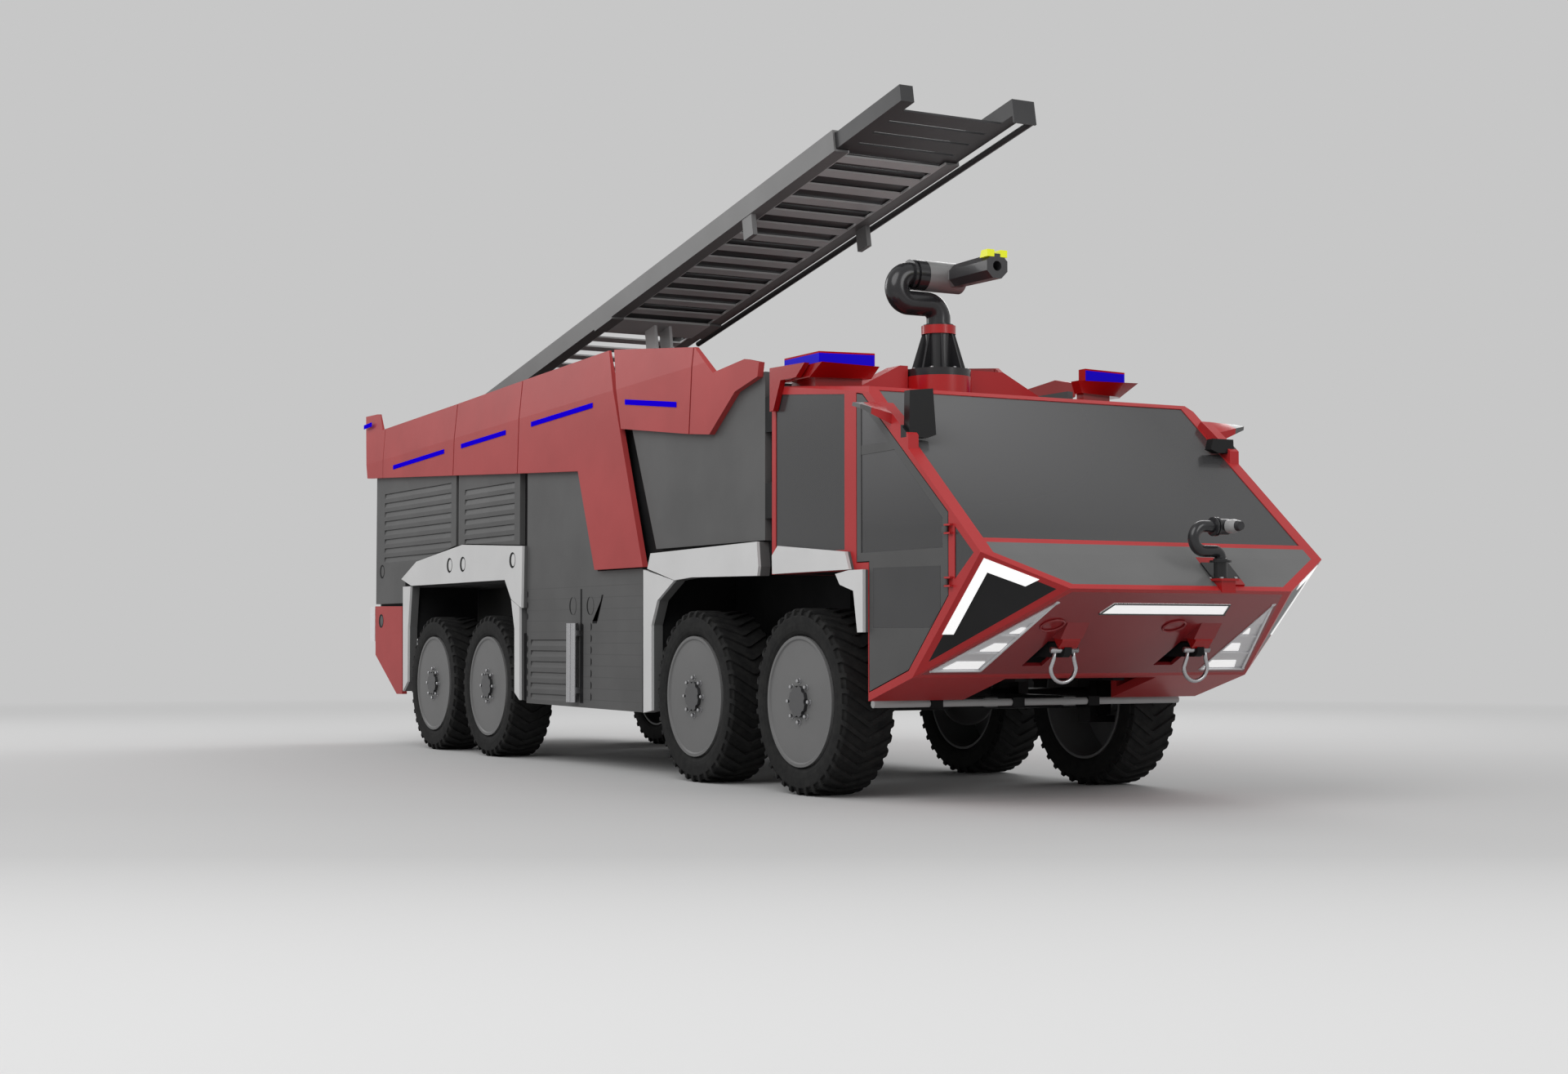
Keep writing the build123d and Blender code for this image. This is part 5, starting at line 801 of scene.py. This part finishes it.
# %% Flank details
LATCHES_ON_TRIM = ((0.489, 1.906), (0.869, 1.906), (2.209, 1.906))
LATCHES_ON_PANEL = ((-1.788, 1.901), (-1.810, 1.351))
CRESCENTS = ((3.545, 1.450), (3.934, 1.447))
DARK_STRIPS = (
    # corners of a dark slot, by station and height
    ((3.722, 0.576), (3.792, 0.576), (3.792, 1.277), (3.758, 1.293), (3.758, 1.600),
     (3.722, 1.600)),
    ((4.188, 1.541), (4.222, 1.541), (4.100, 1.308), (3.990, 1.308), (3.990, 1.289),
     (4.080, 1.289)),
    # the last slot is painted shade: the dark recess at the louvres' left end
    ((2.394, 0.567), (2.446, 0.567), (2.446, 1.205), (2.394, 1.205)))
TEETH = np.array([(0.0, 0.0), (0.020, 0.018), (0.020, 0.052), (0.0, 0.070)])
TOOTH_PITCH = 0.104
TOOTH_ROWS = ((3.955, 0.600, 7), (2.470, 0.600, 6), (2.470, 1.330, 3))
DISH, GRIP, GRIP_SHIFT, GRIP_DEPTH = (0.0765, 0.0765), (0.046, 0.058), 0.026, 0.004
MOON_DISH, MOON_GRIP, MOON_SHIFT, MOON_DEPTH = (0.072, 0.080), (0.060, 0.080), 0.022, 0.003
DARK_DEPTH, TOOTH_DEPTH = 0.0035, 0.004
MARKER = ((-2.198, 1.126), (-2.036, 1.126), (-2.036, 1.514), (-2.198, 1.514))
MARKER_RECESS, MARKER_DEPTH = 0.052, 0.050

for side, side_name in SIDES:
    dishes, grips_white, grips_grey = [], [], []
    latches = ((LATCHES_ON_TRIM, TRIM, grips_white, DISH, GRIP, GRIP_SHIFT, GRIP_DEPTH),
               (LATCHES_ON_PANEL, FLANK, grips_grey, DISH, GRIP, GRIP_SHIFT, GRIP_DEPTH),
               (CRESCENTS, FLANK, grips_grey, MOON_DISH, MOON_GRIP, MOON_SHIFT, MOON_DEPTH))
    for spots, out, grips, dish, grip, shift, depth in latches:
        for x, z in spots:
            dishes.append(on_flank(ellipse((x, z), *dish), out - SUNK, DARK_DEPTH, side))
            grips.append(on_flank(ellipse((x + shift, z), *grip), out, depth, side))
    for corners in DARK_STRIPS:
        dishes.append(on_flank(corners, FLANK - SUNK, DARK_DEPTH, side))
    # The teeth are painted shade: dark triangles where the louvre blades open at their left ends
    for start, low, count in TOOTH_ROWS:
        for tooth in range(count):
            outline = TEETH + (start, low + tooth * TOOTH_PITCH)
            dishes.append(on_flank(outline, FLANK - SUNK, TOOTH_DEPTH, side))
    for kind, parts, finish, slot in (("dark_details", dishes, black_frame, "chassis_black"),
                                      ("grips_white", grips_white, white_trim, "white_trim"),
                                      ("grips_grey", grips_grey, grey_panel, "grey_panel")):
        detail = piece_from(f"{kind}_{side_name}", *joined(parts), "chassis", finish)
    lens = on_flank(MARKER, FLANK - MARKER_RECESS, MARKER_DEPTH, side)
    marker = piece_from(f"rear_marker_{side_name}", *lens, "chassis", lamp_plate)
print("latches per side:", len(LATCHES_ON_TRIM) + len(LATCHES_ON_PANEL) + len(CRESCENTS))

# %% [markdown]
# ## Pipes of the monitors
#
# Each monitor's pipe rises, bends to the right and turns back in a U that ends on the tilt joint.
# The path is a corner of radius c, then a half circle of radius b:
# y = middle + b cos a and z = middle + b sin a, and a ring of points is carried along it.

# %% Swan-neck pipes with their couplings
MONITOR_X, MONITOR_Y = 3.555, -0.150
NOSE_FOOT_X = 6.290
MONITORS = (
    # name, node, place of the pipe's foot, pipe radius, rise, reach, bend, corner, end,
    # the coupling's profile as radius and distance along y, and the y where it starts
    ("roof_pipe", "roof_monitor_riser", (MONITOR_X, MONITOR_Y, 3.5836),
     0.094, 0.164, 0.270, 0.110, 0.110, 0.012,
     ((0.118, 0.0), (0.118, 0.022), (0.100, 0.022), (0.100, 0.044), (0.118, 0.044),
      (0.118, 0.128)), -0.420),
    ("nose_pipe", "nose_monitor_riser", (NOSE_FOOT_X, 0.350, 1.685),
     0.040, 0.060, 0.145, 0.084, 0.050, 0.078,
     ((0.058, 0.0), (0.066, 0.004), (0.066, 0.014), (0.054, 0.016), (0.054, 0.022),
      (0.066, 0.024), (0.066, 0.036)), 0.281))
FLARE, LIP, LIP_LEVEL, LIP_END = 1.25, 1.02, 0.010, 0.016
EDGE_ANGLE = math.radians(40)
quarter, half = np.linspace(0, np.pi / 2, 13), np.linspace(-np.pi / 2, -1.5 * np.pi, 33)
for piece_name, node_name, foot_place, radius, *shape in MONITORS:
    rise, reach, bend, corner, end, profile, start = shape
    x, y, z = foot_place
    top = z + rise + 2 * bend
    ys = np.concatenate([[y], y - corner + corner * np.cos(quarter),
                         y - reach + bend * np.cos(half), [y - reach + end]])
    zs = np.concatenate([[z], z + rise - corner + corner * np.sin(quarter),
                         z + rise + bend + bend * np.sin(half), [top]])
    path = np.stack([np.full(len(ys), x), ys, zs], axis=1)
    coupling, coupling_faces = turned(profile, 32, "y")
    foot_profile = ((radius * FLARE, 0.0), (radius * FLARE, LIP_LEVEL), (radius * LIP, LIP_END))
    foot, foot_faces = turned(foot_profile, 32)
    neck = [tube(path, radius, 28, (1.0, 0.0, 0.0)), (coupling + (x, start, top), coupling_faces),
            (foot + foot_place, foot_faces)]
    pipe = piece_from(piece_name, *joined(neck), node_name, gloss_black, smooth=True)
    pipe.modifiers.new("edges", "EDGE_SPLIT").split_angle = EDGE_ANGLE
    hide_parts(node_name)

# A sleeve round the nose monitor's nozzle, as radius and distance ahead of the drum
SLEEVE = ((0.034, 0.0), (0.047, 0.012), (0.047, 0.060), (0.037, 0.104), (0.030, 0.129))
SLEEVE_PLACE = (NOSE_DRUM_FRONT, 0.376, 1.913)
sleeve, sleeve_faces = turned(SLEEVE, 32, "x")
nozzle_sleeve = piece_from("nose_nozzle_sleeve", sleeve + SLEEVE_PLACE, sleeve_faces,
                           "nose_monitor_barrel", nose_nozzle)
print("swan necks:", len(MONITORS))

# %% [markdown]
# ## Door panes
#
# The door has a lower pane and a bar across its upper one. Both ride on the door.

# %% Lower panes and bars of the doors
LOWER_PANE = ((8.823, 1.649), (8.823, 1.231), (9.557, 1.228), (9.690, 1.348), (9.690, 1.640))
CROSS_BAR = ((8.615, 2.454), (9.180, 2.462), (9.120, 2.512), (8.615, 2.521))
PANE_Y, PANE_DEPTH, BAR_Y, BAR_DEPTH = 1.4535, 0.003, 1.4480, 0.005
for side, side_name in SIDES:
    lower_pane = on_flank(LOWER_PANE, PANE_Y, PANE_DEPTH, side)
    pane = piece_from(f"door_pane_{side_name}", *lower_pane, f"door_{side_name}", pane_dark)
    upper_bar = on_flank(CROSS_BAR, BAR_Y, BAR_DEPTH, side)
    cross_bar = piece_from(f"door_bar_{side_name}", *upper_bar, f"door_{side_name}", door_grey)

# %% [markdown]
# ## Bolts, work lamps and clamps
#
# The roof monitor's flange and the nose monitor's foot are bolted down. One hexagon, turned about
# its axis, is stamped at every place. Two small lamps lie on the roof monitor's nozzle, and three
# square clamps hold the front cross tube.

# %% Bolts and lamps of the monitors, and clamps of the cross tube
BOLTS, BOLT_CIRCLE, FLANGE_TOP = 8, 0.226, 3.2355
FOOT_Y, FOOT_TOP, FOOT_CORNERS = 0.370, 1.5595, (-0.06, 0.06)
BOLT_PROFILE = ((0.013, 0.0), (0.013, 0.010), (0.008, 0.013))
bolt = turned(BOLT_PROFILE, 6)
bolt_turn = np.arange(BOLTS) * 2 * np.pi / BOLTS
flange_spots = np.stack([MONITOR_X + BOLT_CIRCLE * np.cos(bolt_turn),
                         MONITOR_Y + BOLT_CIRCLE * np.sin(bolt_turn),
                         np.full(BOLTS, FLANGE_TOP)], axis=1)
foot_spots = np.array([(NOSE_FOOT_X + dx, FOOT_Y + dy, FOOT_TOP)
                       for dx in FOOT_CORNERS for dy in FOOT_CORNERS])
all_bolts = stamped(bolt, np.vstack([flange_spots, foot_spots]))
bolts = piece_from("monitor_bolts", *all_bolts, "chassis", steel)

CLAMP_PLACES, CLAMP_WIDTH, CLAMP_HALF = (-0.84, -0.13, 0.55), 0.10, 0.034
CLAMP = np.array([(-1, -1), (1, -1), (1, 1), (-1, 1)]) * CLAMP_HALF
clamps = [prism(CLAMP, (CROSS_TUBE_X, y - CLAMP_WIDTH / 2, HUB_HEIGHT), (1, 0, 0), (0, 0, 1),
                (0, CLAMP_WIDTH, 0)) for y in CLAMP_PLACES]
WORK_LAMP = ((4.118, 4.036), (4.2235, 4.036), (4.2235, 4.090), (4.142, 4.090))
WORK_LAMP_STARTS, WORK_LAMP_WIDTH = (-0.141, -0.023), 0.062
lamps = [prism(WORK_LAMP, (0.0, start, 0.0), (1, 0, 0), (0, 0, 1), (0, WORK_LAMP_WIDTH, 0))
         for start in WORK_LAMP_STARTS]
work_lamps = piece_from("work_lamps", *joined(lamps), "roof_monitor_barrel", yellow_lamp)
tube_clamps = piece_from("tube_clamps", *joined(clamps), "chassis", black_frame)
print("bolts:", len(flange_spots) + len(foot_spots))

# %% [markdown]
# ## The studio
#
# The ground is a seamless grey: brighter towards the camera, and one tone with the wall behind.
# The floor's colour carries that gradient as painted light, with painted shade a little darker
# round the truck. A world that is grey only to the camera and to mirrors stands for the wall,
# while its plain white light falls on the object.


# %% Floor, world and lamps
def floor_sheet(half_size):
    """One square at height 0."""
    corners = np.array([(-1, -1, 0), (1, -1, 0), (1, 1, 0), (-1, 1, 0)], float) * half_size
    mesh = bpy.data.meshes.new("studio_floor")
    mesh.from_pydata(corners.tolist(), [], [(0, 1, 2, 3)])
    floor = bpy.data.objects.new("studio_floor", mesh)
    bpy.context.scene.collection.objects.link(floor)
    return floor


CAMERA_PLACE = (18.093, -9.532, 1.154)
CAMERA_YAW = math.radians(151.151)
CAMERA_PITCH = math.radians(2.611)
CAMERA_LENS, SENSOR_WIDTH = 51.16, 36.0
WORLD_LIGHT = 0.62
FLOOR_HALF_SIZE, FLOOR_FADE = 400.0, (9.0, 24.0)
TO_MIDDLE, TO_NEAR = (-3.0, 5.0), (8.5, 15.5)
WALL = screen_colour(199, 199, 199)
MID_FLOOR_SHADE = screen_colour(186, 186, 186)
NEAR_FLOOR_LIGHT = screen_colour(236, 236, 236)

floor_paint = Finish("floor_paint", WALL, 0.95)
floor_x, floor_y, _ = floor_paint.place()
nearness = floor_x * -math.cos(CAMERA_YAW) + floor_y * -math.sin(CAMERA_YAW)
# The floor's colour is painted: painted shade a little darker round the truck, painted light
# brighter towards the camera
far_and_shaded_middle = floor_paint.mix(nearness.ramp(*TO_MIDDLE), WALL, MID_FLOOR_SHADE)
floor_painted_light = floor_paint.mix(nearness.ramp(*TO_NEAR), far_and_shaded_middle, NEAR_FLOOR_LIGHT)
floor_paint.set("Base Color", floor_painted_light)
# Far out the floor glows in the wall's own tone, so that no horizon shows
far_out = (floor_x ** 2.0 + floor_y ** 2.0) ** 0.5
lit_floor = Field(floor_paint, floor_paint.shader.outputs[0])
glow = floor_paint.node("ShaderNodeEmission", inputs={"Color": (*WALL, 1.0)})[0]
blend = floor_paint.node("ShaderNodeMixShader", inputs={
    0: far_out.ramp(*FLOOR_FADE), 1: lit_floor, 2: glow})[0]
surface = floor_paint.tree.nodes["Material Output"].inputs["Surface"]
floor_paint.tree.links.new(blend.socket, surface)
floor = floor_sheet(FLOOR_HALF_SIZE)
wear(floor, floor_paint)

world = bpy.data.worlds.new("studio_world")
bpy.context.scene.world = world
world.use_nodes = True
tree = world.node_tree
tree.nodes.clear()
output = tree.nodes.new("ShaderNodeOutputWorld")
mix = tree.nodes.new("ShaderNodeMixShader")
seen = tree.nodes.new("ShaderNodeBackground")
seen.inputs["Color"].default_value = (*WALL, 1.0)
light = tree.nodes.new("ShaderNodeBackground")
light.inputs["Color"].default_value = (1.0, 1.0, 1.0, 1.0)
light.inputs["Strength"].default_value = WORLD_LIGHT
path = tree.nodes.new("ShaderNodeLightPath")
eyes = path.outputs["Is Camera Ray"]
for ray in ("Is Glossy Ray", "Is Transmission Ray"):
    either = tree.nodes.new("ShaderNodeMath")
    either.operation = "MAXIMUM"
    tree.links.new(eyes, either.inputs[0])
    tree.links.new(path.outputs[ray], either.inputs[1])
    eyes = either.outputs[0]
tree.links.new(eyes, mix.inputs["Fac"])
tree.links.new(light.outputs[0], mix.inputs[1])
tree.links.new(seen.outputs[0], mix.inputs[2])
tree.links.new(mix.outputs[0], output.inputs[0])

LAMPS = (
    # name, place, target, size, power
    ("key", (9.0, -12.0, 13.0), (0.0, 0.0, 1.5), 14.0, 1250.0),
    ("back", (-9.0, 11.0, 12.0), (0.0, 0.0, 1.5), 12.0, 900.0),
    ("front", (18.0, 4.0, 9.0), (3.0, 0.0, 1.5), 8.0, 450.0),
    ("rear", (-14.0, -8.0, 9.0), (-2.0, 0.0, 1.5), 8.0, 450.0),
)
for lamp_name, place, target, size, power in LAMPS:
    lamp = bpy.data.lights.new(lamp_name, "AREA")
    lamp.shape, lamp.size, lamp.energy = "DISK", size, power
    holder = bpy.data.objects.new(lamp_name, lamp)
    holder.location = place
    holder.rotation_euler = (Vector(target) - Vector(place)).to_track_quat("-Z", "Y").to_euler()
    bpy.context.scene.collection.objects.link(holder)

# %% [markdown]
# ## The camera
#
# It stands where the photographer's stood. Its place, its two angles and its lens come from points
# of the truck that were measured in the photograph.

# %% The camera stands where the photographer's stood
camera = bpy.data.cameras.new("camera")
camera.lens, camera.sensor_width, camera.sensor_fit = CAMERA_LENS, SENSOR_WIDTH, "HORIZONTAL"
camera.clip_end = 1000.0
camera_holder = bpy.data.objects.new("camera", camera)
bpy.context.scene.collection.objects.link(camera_holder)
camera_holder.location = CAMERA_PLACE
aim = Vector((math.cos(CAMERA_YAW) * math.cos(CAMERA_PITCH),
              math.sin(CAMERA_YAW) * math.cos(CAMERA_PITCH), math.sin(CAMERA_PITCH)))
camera_holder.rotation_euler = aim.to_track_quat("-Z", "Y").to_euler()
bpy.context.scene.camera = camera_holder
bpy.context.scene.view_settings.view_transform = "Standard"
